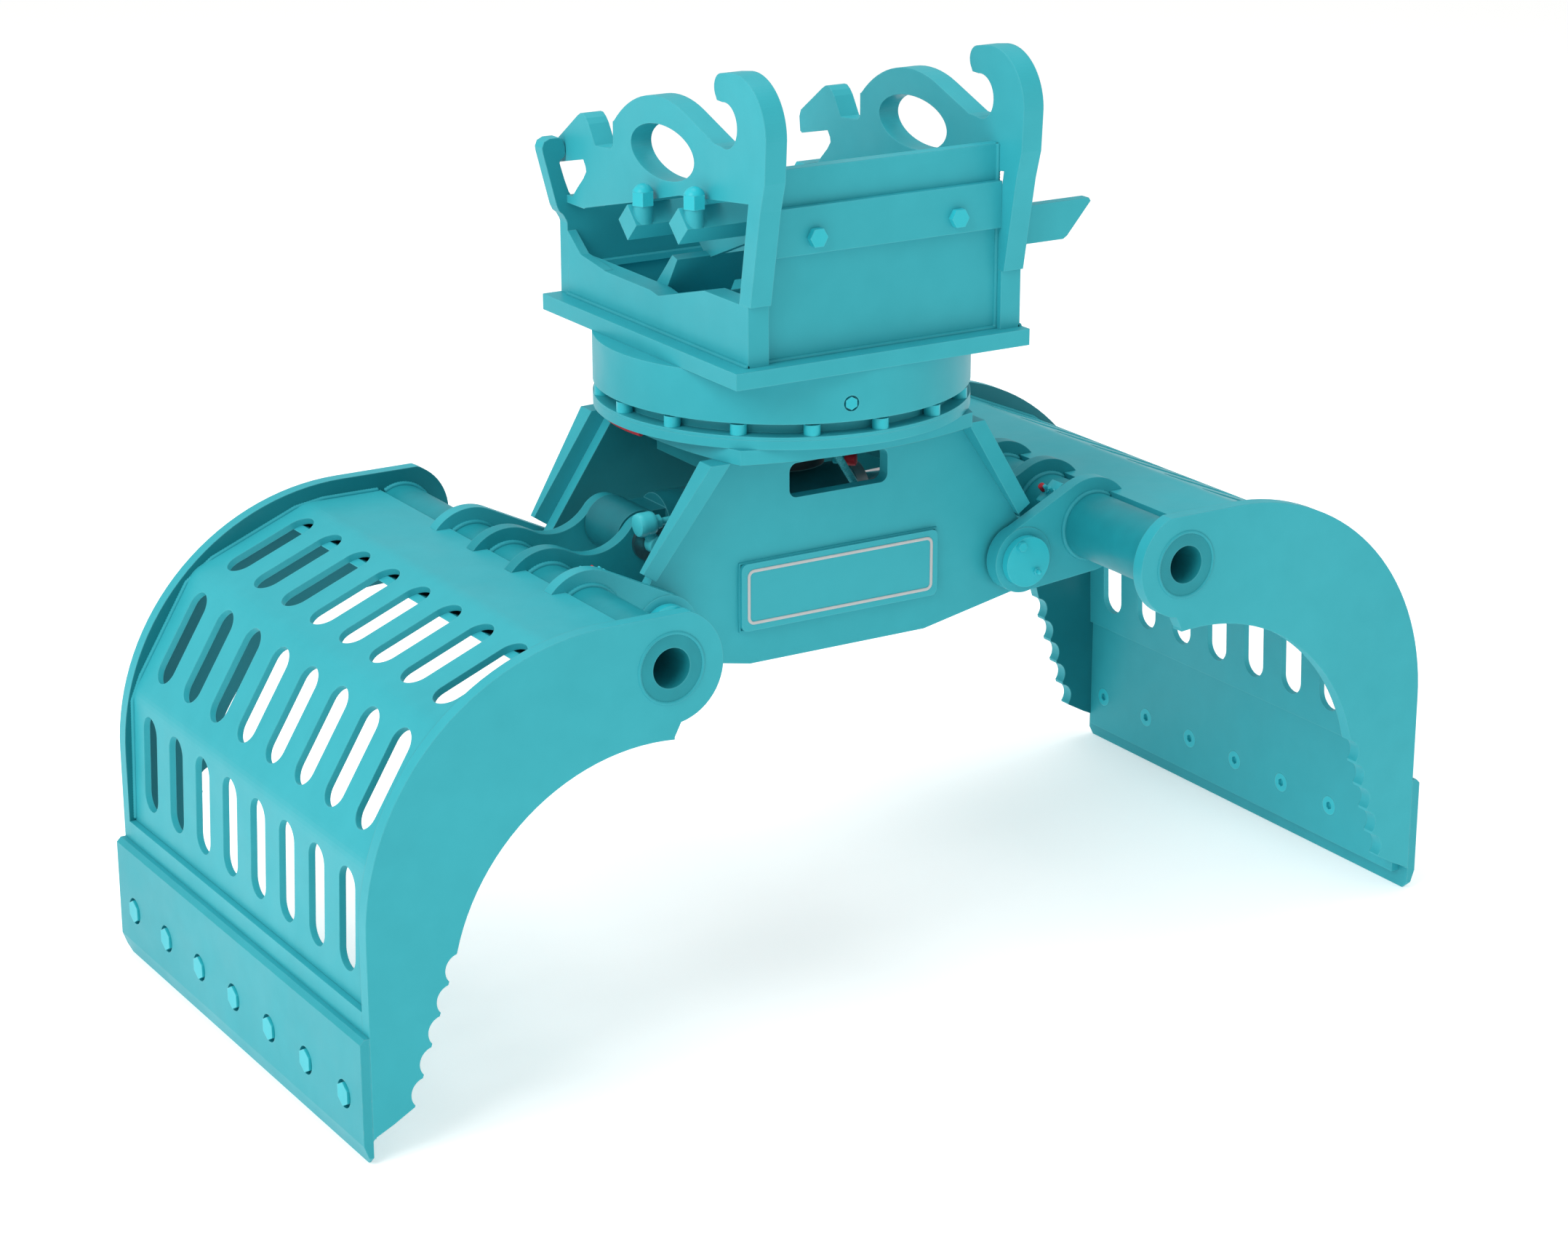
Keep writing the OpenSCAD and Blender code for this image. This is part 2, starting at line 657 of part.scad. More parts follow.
module yoke_ring_plate() color(teal) difference() {
    translate([0, 0, ring_z]) cylinder(r = ring_out_r, h = ring_plate_t, $fn = 128);
    translate([0, 0, ring_z - 1]) cylinder(r = ring_bore_r, h = ring_plate_t + 2);
    ring_bolt_places() translate([0, 0, ring_z + 2]) cylinder(r = ring_bolt_r + play, h = ring_plate_t);
}

module ball_groove() translate([0, 0, ball_z]) rotate_extrude($fn = 128)
    translate([race_split, 0]) circle(r = ball_r + ball_gap, $fn = 32);

module ring_gear() color(steel) difference() {
    union() {
        translate([0, 0, neck_z - ring_flange_t]) cylinder(r = ring_out_r, h = ring_flange_t, $fn = 128);
        translate([0, 0, neck_z - 1]) cylinder(r = neck_r, h = race_z - neck_z + 1, $fn = 128);
        translate([0, 0, race_z - 1]) cylinder(r = race_split - race_gap, h = race_h + 1, $fn = 128);
    }
    translate([0, 0, ring_z]) linear_extrude(race_h + 100)
        polygon(gear_points(gear_m, gear_z, gear_r - gear_m * 0.8, gear_r + gear_m * 1.15, 0.5, 3.75));
    ring_bolt_places() translate([0, 0, ring_z]) cylinder(r = ring_bolt_r + play, h = 60);
    ball_groove();
}

module ring_bolts() color(teal_light) ring_bolt_places() translate([0, 0, neck_z]) difference() {
    union() {
        cylinder(r = bolt_head_r, h = 19);
        translate([0, 0, -20]) cylinder(r = ring_bolt_r, h = 21);
    }
    translate([0, 0, 9]) hex_z(14, 11);
}

module bearing_balls() color(steel) translate([0, 0, ball_z]) for (i = [0:ball_n - 1])
    rotate(360 * i / ball_n) translate([race_split, 0, 0]) sphere(r = ball_r, $fn = 24);

module bearing_outer_race() color(steel) difference() {
    translate([0, 0, race_z + 6]) cylinder(r = ring_out_r - housing_wall - play, h = race_h - 10, $fn = 128);
    translate([0, 0, race_z]) cylinder(r = race_split + race_gap, h = race_h, $fn = 128);
    ball_groove();
}

module rotator_housing() color(teal) difference() {
    translate([0, 0, housing_z]) cylinder(r = ring_out_r, h = housing_h, $fn = 128);
    translate([0, 0, housing_z - 1])
        cylinder(r = ring_out_r - housing_wall, h = housing_h - 17.5, $fn = 128);
    translate([0, 0, housing_z]) cylinder(r = spindle_r + play, h = 200);
    translate([pinion_at[0], pinion_at[1], housing_z]) cylinder(r = motor_shaft_r + 3, h = 200);
    rotate(-101) translate([0, 0, housing_z + 31]) {
        rod_x(13.5, ring_out_r - 8, ring_out_r + 5);
        rod_x(8 + play, ring_out_r - 30, ring_out_r);
    }
}

module slew_pinion() color(steel) translate([pinion_at[0], pinion_at[1], 0]) {
    translate([0, 0, race_z + 5]) linear_extrude(race_h - 10)
        polygon(gear_points(gear_m, pinion_z, pinion_r - gear_m * 1.15, pinion_r + gear_m * 0.75, -0.5,
            pinion_angle + 15));
    translate([0, 0, race_z + 5]) cylinder(r = motor_shaft_r, h = head_z + 18 - race_z);
}

module slew_motor() color(dark) translate([pinion_at[0], pinion_at[1], head_z]) difference() {
    union() {
        cylinder(r = 62, h = 18);
        cylinder(r = 48, h = 92);
        translate([-30, -30, 90]) cube([60, 60, 14]);
    }
    translate([0, 0, -1]) cylinder(r = motor_shaft_r + run_gap, h = 26);
}

module swivel_spindle() color(steel) {
    translate([0, 0, top_z - 68]) cylinder(r = spindle_r, h = head_z + 12 - top_z + 68);
    translate([0, 0, head_z]) cylinder(r = spindle_r + 18, h = 12);
    translate([0, 0, head_z + 11]) cylinder(r = spindle_r - 8, h = 30);
}

// Head

module head_base_plate() color(teal) translate([0, 0, head_z - base_t]) difference() {
    translate([-base_x, -base_y, 0]) cube([2 * base_x, 2 * base_y, base_t]);
    translate([0, 0, -1]) cylinder(r = spindle_r + play, h = base_t + 2);
    translate([pinion_at[0], pinion_at[1], -1]) cylinder(r = motor_shaft_r + 3, h = base_t + 2);
}

module hook_plate_2d() difference() {
    polygon(concat(hook_front, arc(arch_c, arch_r, 45, 110.1, 16), [arch_end],
        arc(pocket_c, pocket_r - 1, -90, -270, 24), [[-214.5, 427]], arc(nose_c, nose_r, -40, 81.6, 12),
        arc(hook_c, hook_r, 84, 176, 22)));
    translate(pocket_c) circle(r = pocket_r);
    polygon([for (i = [0:63]) eye_c + [eye_l / 2 * cos(i * 5.625), eye_w / 2 * sin(i * 5.625)]]);
}

module hook_plate_left() color(teal) translate([0, 0, head_z]) along_x(hook_left, hook_t) hook_plate_2d();
module hook_plate_right() color(teal) translate([0, 0, head_z])
    along_x(hook_right - hook_t, hook_t) hook_plate_2d();
module head_wall_left() color(teal) translate([0, 0, head_z]) {
    along_x(hook_left, hook_t) polygon(wall_profile);
    along_x(hook_left, wall_rise_t) polygon(wall_rise);
}
module head_wall_right() color(teal) translate([0, 0, head_z]) {
    along_x(hook_right - hook_t, hook_t) polygon(wall_profile);
    along_x(hook_right - wall_rise_t, wall_rise_t) polygon(wall_rise);
}

module strip_bolt_places() for (s = [-1, 1])
    translate([middle_x + s * strip_bolt_x, panel_y - strip_t, head_z + strip_v + 28]) children();

module head_front_panel() color(teal) difference() {
    translate([inner_left, panel_y, head_z]) cube([inner_w, panel_t, panel_h]);
    strip_bolt_places() rod_y(strip_bolt_r + play, 0, strip_t + 12);
}

module front_strip() color(teal) difference() {
    translate([inner_left, panel_y - strip_t, head_z + strip_v]) cube([inner_w, strip_t, strip_h]);
    strip_bolt_places() rod_y(strip_bolt_r + play, -1, strip_t + 1);
}

// Two hexagon bolts on the front strip and the plug in the rotator housing
module head_fasteners() color(teal_light) {
    strip_bolt_places() {
        rod_y(strip_bolt_r, -1, strip_t + 11);
        rotate([90, 0, 0]) hex_z(30, 12);
    }
    rotate(-101) translate([0, 0, housing_z + 31]) {
        rod_x(8, ring_out_r - housing_wall + 1, ring_out_r - 7);
        translate([ring_out_r - 8 + play, 0, 0]) rotate([0, 90, 0]) hex_z(20, 8);
    }
}

// Cross plate at the rear, with the catch that rises from its left end
module head_rear_panel() color(teal) translate([0, 0, head_z]) along_y(rear_y, rear_t)
    polygon([[hook_left, 0], [hook_right, 0], [hook_right, 181], [236, 181], [222, 162], [-222, 162], [-236, 167], [-246, 175],
        [-252, 184], [-260, 206], [-269, 236], [-268, 241], [-260, 246], [-257.5, 252], [-258, 264],
        [-262, 276], [-269, 281], [-288, 281], [-299, 276], [-303, 266], [-302, 258], [-276, 160],
        [-271, 150], [-264, 144], [-258, 134], [hook_left, 128]]);

module head_rear_bar() color(teal) translate([inner_left, rear_y - rear_bar, head_z + 44])
    cube([inner_w, rear_bar, rear_bar]);

module head_slanted_plate() color(teal) translate([0, 0, head_z]) {
    difference() {
        along_x(inner_left, inner_w) polygon([[63, 0], [121, 0], [4, 124], [-13, 119]]);
        translate([-80, -80, -1]) cube([160, 180, 61]);
    }
    along_x(coupling_rest, 14)
        polygon([[4, 116], [-13, 116], [-200, 190], [-200, 240], [-150, 250], [0, 226], [40, 216], [44, 150]]);
}

module pointed_bar() color(teal) translate([0, 0, head_z]) along_y(-310, 20)
    polygon([[hook_right, 142], [374, 142], [382, 147], [430, 202], [426, 208], [hook_right, 208]]);

module coupling_blocks() color(teal) translate([coupling_x, 0, head_z]) for (c = coupling_places)
    translate([0, c[0], c[1]]) {
        rotate([45, 0, 0]) translate([0, -coupling_side / 2, -coupling_side / 2])
            cube([coupling_rest - coupling_x, coupling_side, coupling_side]);
        translate([cap_at[0], cap_at[1], 0]) cylinder(r = cap_boss_r, h = cap_at[2]);
    }

module coupling_caps() color(teal_light) translate([coupling_x, 0, head_z]) for (c = coupling_places)
    translate([cap_at[0], c[0] + cap_at[1], c[1] + cap_at[2]]) {
        hex_z(cap_af, cap_h);
        translate([0, 0, cap_h]) intersection() {
            translate([0, 0, -6]) sphere(r = 18.5, $fn = 48);
            cylinder(r = 19, h = 14);
        }
    }

head_base_plate();
hook_plate_left();
hook_plate_right();
head_wall_left();
head_wall_right();
head_front_panel();
head_rear_panel();
head_rear_bar();
head_slanted_plate();
front_strip();
head_fasteners();
pointed_bar();
coupling_blocks();
coupling_caps();
rotator_housing();
bearing_outer_race();
slew_motor();
swivel_spindle();
slew_pinion();
ring_gear();
bearing_balls();
ring_bolts();
yoke_ring_plate();
yoke_top_plate();
yoke_side_front();
yoke_side_rear();
yoke_columns();
yoke_webs();
yoke_bushes();
nameplate();
swivel_housing();
left() side_plates();  // left_side_plates
left() back_plate();  // left_back_plate
left() torsion_tube();  // left_torsion_tube
left() outer_levers();  // left_outer_levers
left() inner_levers();  // left_inner_levers
left() box_plate();  // left_box_plate
left() blade_seat();  // left_blade_seat
left() knife();  // left_knife
left() knife_bolts();  // left_knife_bolts
left() hinge_pins();  // left_hinge_pins
left() pin_bolts();  // left_pin_bolts
left() cylinder_pin();  // left_cylinder_pin
side_plates();  // right_side_plates
back_plate();  // right_back_plate
torsion_tube();  // right_torsion_tube
outer_levers();  // right_outer_levers
inner_levers();  // right_inner_levers
box_plate();  // right_box_plate
blade_seat();  // right_blade_seat
knife();  // right_knife
knife_bolts();  // right_knife_bolts
hinge_pins();  // right_hinge_pins
pin_bolts();  // right_pin_bolts
cylinder_pin();  // right_cylinder_pin
cylinder_barrel();
cylinder_gland();
cylinder_pipe();
cylinder_rod();
cylinder_piston();
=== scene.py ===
"""Sorting grapple: paint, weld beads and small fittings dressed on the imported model."""

import json
import logging
import math
from dataclasses import dataclass, field
from enum import Enum
from typing import Callable, Iterable, Sequence

import bpy
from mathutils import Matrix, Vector

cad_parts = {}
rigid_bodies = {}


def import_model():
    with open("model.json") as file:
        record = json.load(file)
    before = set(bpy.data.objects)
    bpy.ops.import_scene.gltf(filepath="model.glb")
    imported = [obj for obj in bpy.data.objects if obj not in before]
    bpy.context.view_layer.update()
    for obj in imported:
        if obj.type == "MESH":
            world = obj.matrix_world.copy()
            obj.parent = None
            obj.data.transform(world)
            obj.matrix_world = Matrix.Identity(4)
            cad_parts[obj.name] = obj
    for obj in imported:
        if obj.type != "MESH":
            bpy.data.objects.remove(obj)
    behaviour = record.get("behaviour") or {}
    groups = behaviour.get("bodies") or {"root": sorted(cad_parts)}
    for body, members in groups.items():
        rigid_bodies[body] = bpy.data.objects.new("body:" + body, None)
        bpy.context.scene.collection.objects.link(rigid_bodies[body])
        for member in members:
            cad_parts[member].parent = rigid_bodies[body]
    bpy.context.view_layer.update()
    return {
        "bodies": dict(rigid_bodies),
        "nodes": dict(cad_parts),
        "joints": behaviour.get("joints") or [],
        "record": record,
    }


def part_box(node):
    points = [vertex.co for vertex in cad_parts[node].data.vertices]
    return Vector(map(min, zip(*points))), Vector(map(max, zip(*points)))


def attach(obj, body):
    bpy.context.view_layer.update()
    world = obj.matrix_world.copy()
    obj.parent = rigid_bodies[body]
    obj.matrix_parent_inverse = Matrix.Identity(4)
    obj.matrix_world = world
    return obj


LOG = logging.getLogger("grapple")
MM = 0.001
LIFT = 1 * MM  # how far the middle of a bead stands off its seam
TEAL, TEAL_SHADE = "3AB2BE", "32A8B4"
MIX_FACTOR, MIX_FIRST, MIX_SECOND, MIX_RESULT = 0, 6, 7, 2  # colour sockets of a Mix node
BEVEL_SAMPLES = 6
WHITE = (1.0, 1.0, 1.0, 1.0)
Point = tuple[float, float, float]
Seam = tuple[list[Point], float, bool]  # path, half width of the bead, whether it is closed


class Body(Enum):
    """The bodies of the grapple that carry dressing pieces."""

    YOKE = "yoke"
    HEAD = "head"
    LEFT = "left_shell"
    RIGHT = "right_shell"
    BARREL = "barrel"


class Slot(Enum):
    """The record's material slots."""

    BODY = "body_paint"
    FASTENER = "fastener_paint"
    KNIFE = "knife_paint"
    PLATE = "plate_paint"
    STEEL = "bare_steel"
    DARK = "dark_paint"
    DEEP = "deep_paint"
    CHROME = "chrome_rod"


def srgb(code: str) -> tuple[float, float, float, float]:
    """Turn a screen colour into the linear colour that a shader takes.

    Args:
        code: Six hexadecimal digits.

    Returns:
        Red, green, blue and alpha.
    """
    knee, slope, offset, gamma = 0.04045, 12.92, 0.055, 2.4
    channels = [int(code[i : i + 2], 16) / 255 for i in (0, 2, 4)]
    linear = [
        c / slope if c <= knee else ((c + offset) / (1 + offset)) ** gamma for c in channels
    ]
    return (linear[0], linear[1], linear[2], 1.0)


class Socket:
    """A shader value that can be used in ordinary sums."""

    def __init__(self, graph: "Graph", link: bpy.types.NodeSocket | None) -> None:
        """Keep the graph and the output that holds the value, if there is one."""
        self.graph = graph
        self.link = link

    def _sum(self, kind: str, first: object, second: object) -> "Socket":
        """Add one Math node for two values."""
        return self.graph.node("ShaderNodeMath", {"operation": kind}, {0: first, 1: second})

    def __add__(self, other: object) -> "Socket":
        """Sum of two values."""
        return self._sum("ADD", self, other)

    def __radd__(self, other: object) -> "Socket":
        """Sum of two values."""
        return self._sum("ADD", other, self)

    def __sub__(self, other: object) -> "Socket":
        """Difference of two values."""
        return self._sum("SUBTRACT", self, other)

    def __rsub__(self, other: object) -> "Socket":
        """Difference of two values, the other one first."""
        return self._sum("SUBTRACT", other, self)

    def __mul__(self, other: object) -> "Socket":
        """Product of two values."""
        return self._sum("MULTIPLY", self, other)

    def __rmul__(self, other: object) -> "Socket":
        """Product of two values."""
        return self._sum("MULTIPLY", other, self)

    def clamp(self) -> "Socket":
        """The value kept between 0 and 1."""
        return self.graph.node(
            "ShaderNodeMath", {"operation": "ADD", "use_clamp": True}, {0: self, 1: 0.0}
        )


class Graph:
    """The node tree of one material."""

    def __init__(self, name: str) -> None:
        """Start an empty material.

        Args:
            name: The material's name.
        """
        self.material = bpy.data.materials.new(name)
        self.material.use_nodes = True
        self.tree = self.material.node_tree
        self.tree.nodes.clear()

    def node(
        self, kind: str, settings: dict[str, object] | None = None,
        inputs: dict[object, object] | None = None, output: object = 0,
    ) -> Socket:
        """Add a node.

        Args:
            kind: The node's type.
            settings: Properties that are set before the sockets.
            inputs: Values or links for its input sockets.
            output: Which output to hand back.

        Returns:
            The chosen output.
        """
        made = self.tree.nodes.new(kind)
        for key, value in (settings or {}).items():
            setattr(made, key, value)
        for key, value in (inputs or {}).items():
            if isinstance(value, Socket):
                self.tree.links.new(value.link, made.inputs[key])
            else:
                made.inputs[key].default_value = value
        return Socket(self, made.outputs[output] if made.outputs else None)

    def place(self) -> Socket:
        """Object coordinates, in metres."""
        return self.node("ShaderNodeTexCoord", output="Object")

    def noise(self, scale: float, detail: float = 3.0, rough: float = 0.5) -> Socket:
        """Cloudy noise from 0 to 1.

        Args:
            scale: Cycles per metre.
            detail: Octaves of finer noise.
            rough: Strength of the finer octaves.

        Returns:
            The noise value.
        """
        return self.node("ShaderNodeTexNoise", {}, {
            "Vector": self.place(), "Scale": scale, "Detail": detail, "Roughness": rough,
        })

    def ramp(self, value: Socket, low: float, high: float) -> Socket:
        """Stretch the part of a value between two limits to 0 to 1."""
        return self.node("ShaderNodeMapRange", {"clamp": True}, {
            "Value": value, "From Min": low, "From Max": high, "To Min": 0.0, "To Max": 1.0,
        })

    def mix(self, factor: object, first: object, second: object) -> Socket:
        """Blend two colours."""
        return self.node(
            "ShaderNodeMix", {"data_type": "RGBA"},
            {MIX_FACTOR: factor, MIX_FIRST: first, MIX_SECOND: second}, output=MIX_RESULT,
        )

    def dot(self, first: object, second: object) -> Socket:
        """Dot product of two vectors."""
        return self.node(
            "ShaderNodeVectorMath", {"operation": "DOT_PRODUCT"}, {0: first, 1: second},
            output="Value",
        )

    def soft(self, width: float) -> Socket:
        """The normal as if every edge were rounded by a width in metres."""
        return self.node("ShaderNodeBevel", {"samples": BEVEL_SAMPLES}, {"Radius": width})

    def bump(self, settings: dict[str, object]) -> Socket:
        """The normal of a surface that a height raises."""
        return self.node("ShaderNodeBump", {}, settings)

    def past(self, region: "Inside") -> Socket:
        """Where a point lies within a region, from 0 to 1."""
        place = self.place()
        if region.folded:
            place = self.node("ShaderNodeVectorMath", {"operation": "ABSOLUTE"}, {0: place})
        along = self.dot(place, region.facing)
        return self.ramp(along, region.reach - region.fade, region.reach + region.fade)

    def edges(self, width: float) -> Socket:
        """How close a point is to a sharp outer or inner edge.

        Args:
            width: Reach of the edge in metres.

        Returns:
            A value near 1 at an edge and 0 on a flat face.
        """
        rounded = self.soft(width)
        flat = self.node("ShaderNodeNewGeometry", output="Normal")
        return self.ramp(1.0 - self.dot(rounded, flat), 0.02, 0.28)

    def finish(self, settings: dict[str, object]) -> bpy.types.Material:
        """Close the graph with one Principled shader.

        Args:
            settings: Values or links for the shader's sockets.

        Returns:
            The finished material.
        """
        shader = self.node("ShaderNodeBsdfPrincipled", {}, settings)
        self.node("ShaderNodeOutputMaterial", {}, {"Surface": shader})
        return self.material


@dataclass(frozen=True)
class Inside:
    """Faces that look into the grapple, painted darker to stand for the shade that falls there.

    Attributes:
        facing: Direction in which the region lies.
        reach: Distance along it at which the region starts, in metres.
        folded: Whether the region is the same on both sides of each middle plane.
        fade: Half the width of its border.
    """

    facing: Point
    reach: float
    folded: bool = False
    fade: float = 0.4 * MM


@dataclass(frozen=True)
class Paint:
    """Sprayed coat over steel plate, with orange peel, painted edge highlights and worn corners.

    Attributes:
        name: The material's name.
        coat: Colour of the thick coat.
        shade: Colour where the coat is thinner.
        roughness: Mean roughness.
        peel: Height of the orange peel, in metres.
        wear: How much of the steel shows at chipped edges.
        worn: Colour of the bare steel there.
        edge_round: Radius by which edges look softened, in metres.
        edge_width: How far the painted edge highlight and the chipped edges reach, in metres.
        edge_highlight: Colour of the painted highlight along the edges.
        inside: Region of painted shade on faces that look inwards, if there is one.
        painted_shade_colour: Colour of that painted shade.
    """

    name: str
    coat: str
    shade: str
    roughness: float = 0.46
    peel: float = 0.12 * MM
    wear: float = 0.0
    worn: str = "B9C4C6"
    edge_round: float = 1.6 * MM
    edge_width: float = 4 * MM
    edge_highlight: str = "6FD3DC"
    inside: Inside | None = None
    painted_shade_colour: str = "187A84"

    def material(self) -> bpy.types.Material:
        """Build the coat's material."""
        graph = Graph(self.name)
        clouds = graph.noise(2.3, 4.0)
        mottling = graph.noise(21.0, 3.0)
        tone = graph.ramp(0.65 * clouds + 0.35 * mottling, 0.30, 0.72)
        colour = graph.mix(tone, srgb(self.shade), srgb(self.coat))
        # Painted shade: faces in the inside region are darkened, mottled by noise, to stand for
        # the shade inside the grapple.
        if self.inside:
            shade_mottle = graph.ramp(graph.noise(5.0, 4.0), 0.1, 0.6)
            share = graph.past(self.inside) * (0.8 + 0.2 * shade_mottle)
            colour = graph.mix(share, colour, srgb(self.painted_shade_colour))
        # Painted highlight: edges are lightened as if they caught the light.
        edge = graph.edges(self.edge_width)
        colour = graph.mix(0.35 * edge, colour, srgb(self.edge_highlight))
        if self.wear > 0:
            chips = graph.ramp(graph.noise(60.0, 6.0, 0.65), 0.50, 0.62)
            colour = graph.mix(self.wear * edge * chips, colour, srgb(self.worn))
        fine = graph.noise(420.0, 2.0)
        wide = graph.noise(90.0, 2.0)
        bump = graph.bump({
            "Strength": 1.0, "Distance": self.peel, "Height": 0.6 * wide + 0.4 * fine,
            "Normal": graph.soft(self.edge_round),
        })
        rough = self.roughness + 0.10 * (graph.ramp(graph.noise(9.0, 4.0), 0.35, 0.7) - 0.5)
        return graph.finish({
            "Base Color": colour, "Roughness": rough, "Normal": bump,
            "Specular IOR Level": 0.20, "Coat Weight": 0.04, "Coat Roughness": 0.22,
        })


@dataclass(frozen=True)
class Metal:
    """Bare or plated metal with fine turning marks."""

    name: str
    colour: str
    roughness: float
    marks: float = 0.25
    stretch: Point = (40.0, 40.0, 900.0)

    def material(self) -> bpy.types.Material:
        """Build the metal's material."""
        graph = Graph(self.name)
        stretched = graph.node(
            "ShaderNodeMapping", {}, {"Vector": graph.place(), "Scale": self.stretch}
        )
        lines = graph.node(
            "ShaderNodeTexNoise", {}, {"Vector": stretched, "Scale": 1.0, "Detail": 2.0}
        )
        film = graph.ramp(graph.noise(30.0, 4.0), 0.35, 0.75)
        base = srgb(self.colour)
        dull = tuple(0.72 * c for c in base[:3]) + (1.0,)
        rough = self.roughness + self.marks * (lines - 0.5) + 0.10 * film
        return graph.finish({
            "Base Color": graph.mix(film, base, dull), "Metallic": 1.0,
            "Roughness": rough.clamp(),
            "Normal": graph.bump({"Strength": 0.3, "Distance": 0.1 * MM, "Height": lines}),
        })


@dataclass(frozen=True)
class Rubber:
    """Moulded rubber of the seals and caps."""

    name: str
    colour: str

    def material(self) -> bpy.types.Material:
        """Build the rubber's material."""
        graph = Graph(self.name)
        dust = graph.ramp(graph.noise(14.0, 5.0), 0.4, 0.8)
        base = srgb(self.colour)
        dusty = tuple(min(1.0, c + 0.03) for c in base[:3]) + (1.0,)
        grain = graph.noise(700.0, 2.0)
        return graph.finish({
            "Base Color": graph.mix(dust, base, dusty), "Roughness": 0.55 + 0.2 * dust,
            "Normal": graph.bump({"Strength": 0.4, "Distance": 0.2 * MM, "Height": grain}),
        })


class Palette:
    """Every finish of the grapple, made once."""

    def __init__(self) -> None:
        """Build the materials."""
        # Regions of painted shade: inside the yoke plates, under the yoke roof, inside the shell
        # side plates, on the head's rear panel.
        yoke_plate = Inside((0, -1, 0), -0.1625, folded=True)
        yoke_roof = Inside((0, 0, -1), -0.9615)
        shell_side = Inside((0, -1, 0), -0.4755, folded=True)
        head_rear = Inside((0, -1, 0), -0.3025)
        recipes: dict[str, Paint | Metal | Rubber] = {
            "body": Paint("body_coat", TEAL, TEAL_SHADE),
            "weld": Paint("weld_coat", "36AEBA", "2E9FAB", peel=0.2 * MM),
            "fastener": Paint("fastener_coat", "36C6D3", "2BB9C6", roughness=0.34),
            "knife": Paint("knife_coat", "36ABB7", "2EA0AC", wear=0.2),
            # Painted shade: a darker coat for the levers and torsion tubes, as if they lay in
            # shade.
            "lever": Paint("lever_shade_coat", "249FAB", "1B8893", peel=0.2 * MM),
            # Painted light: a lighter coat for the oil lines, so they look lit inside the yoke's
            # shade.
            "line": Paint("line_lit_coat", "50D0DB", "42C3CE", roughness=0.3),
            "plate": Paint("plate_coat", TEAL, "35ACB8", roughness=0.36),
            "border": Paint("border_coat", "C9C9C9", "BFC0C0", roughness=0.4, peel=0.05 * MM),
            # Painted shade: darker teal for the deep slot, parts that lie in shade.
            "deep": Paint("deep_shade_coat", "1C7F8A", "156873"),
            "dark": Paint("dark_coat", "1B2A2E", "131E22", roughness=0.5),
            "steel": Metal("turned_steel", "9AA3A6", 0.34),
            "chrome": Metal("hard_chrome", "D5D9DB", 0.10, marks=0.04),
            "seal": Rubber("red_seal", "C4122A"),
            # Body coat with painted shade on the faces that look into the grapple.
            "yoke_plate": Paint("yoke_plate_coat", TEAL, TEAL_SHADE, inside=yoke_plate),
            "yoke_roof": Paint("yoke_roof_coat", TEAL, TEAL_SHADE, inside=yoke_roof),
            "shell_side": Paint("shell_side_coat", TEAL, TEAL_SHADE, inside=shell_side),
            "head_rear": Paint(
                "head_rear_coat", TEAL, TEAL_SHADE, inside=head_rear, painted_shade_colour="2A9AA6"
            ),
        }
        self.finishes = {name: recipe.material() for name, recipe in recipes.items()}

    def __getitem__(self, name: str) -> bpy.types.Material:
        """The material of that name."""
        return self.finishes[name]


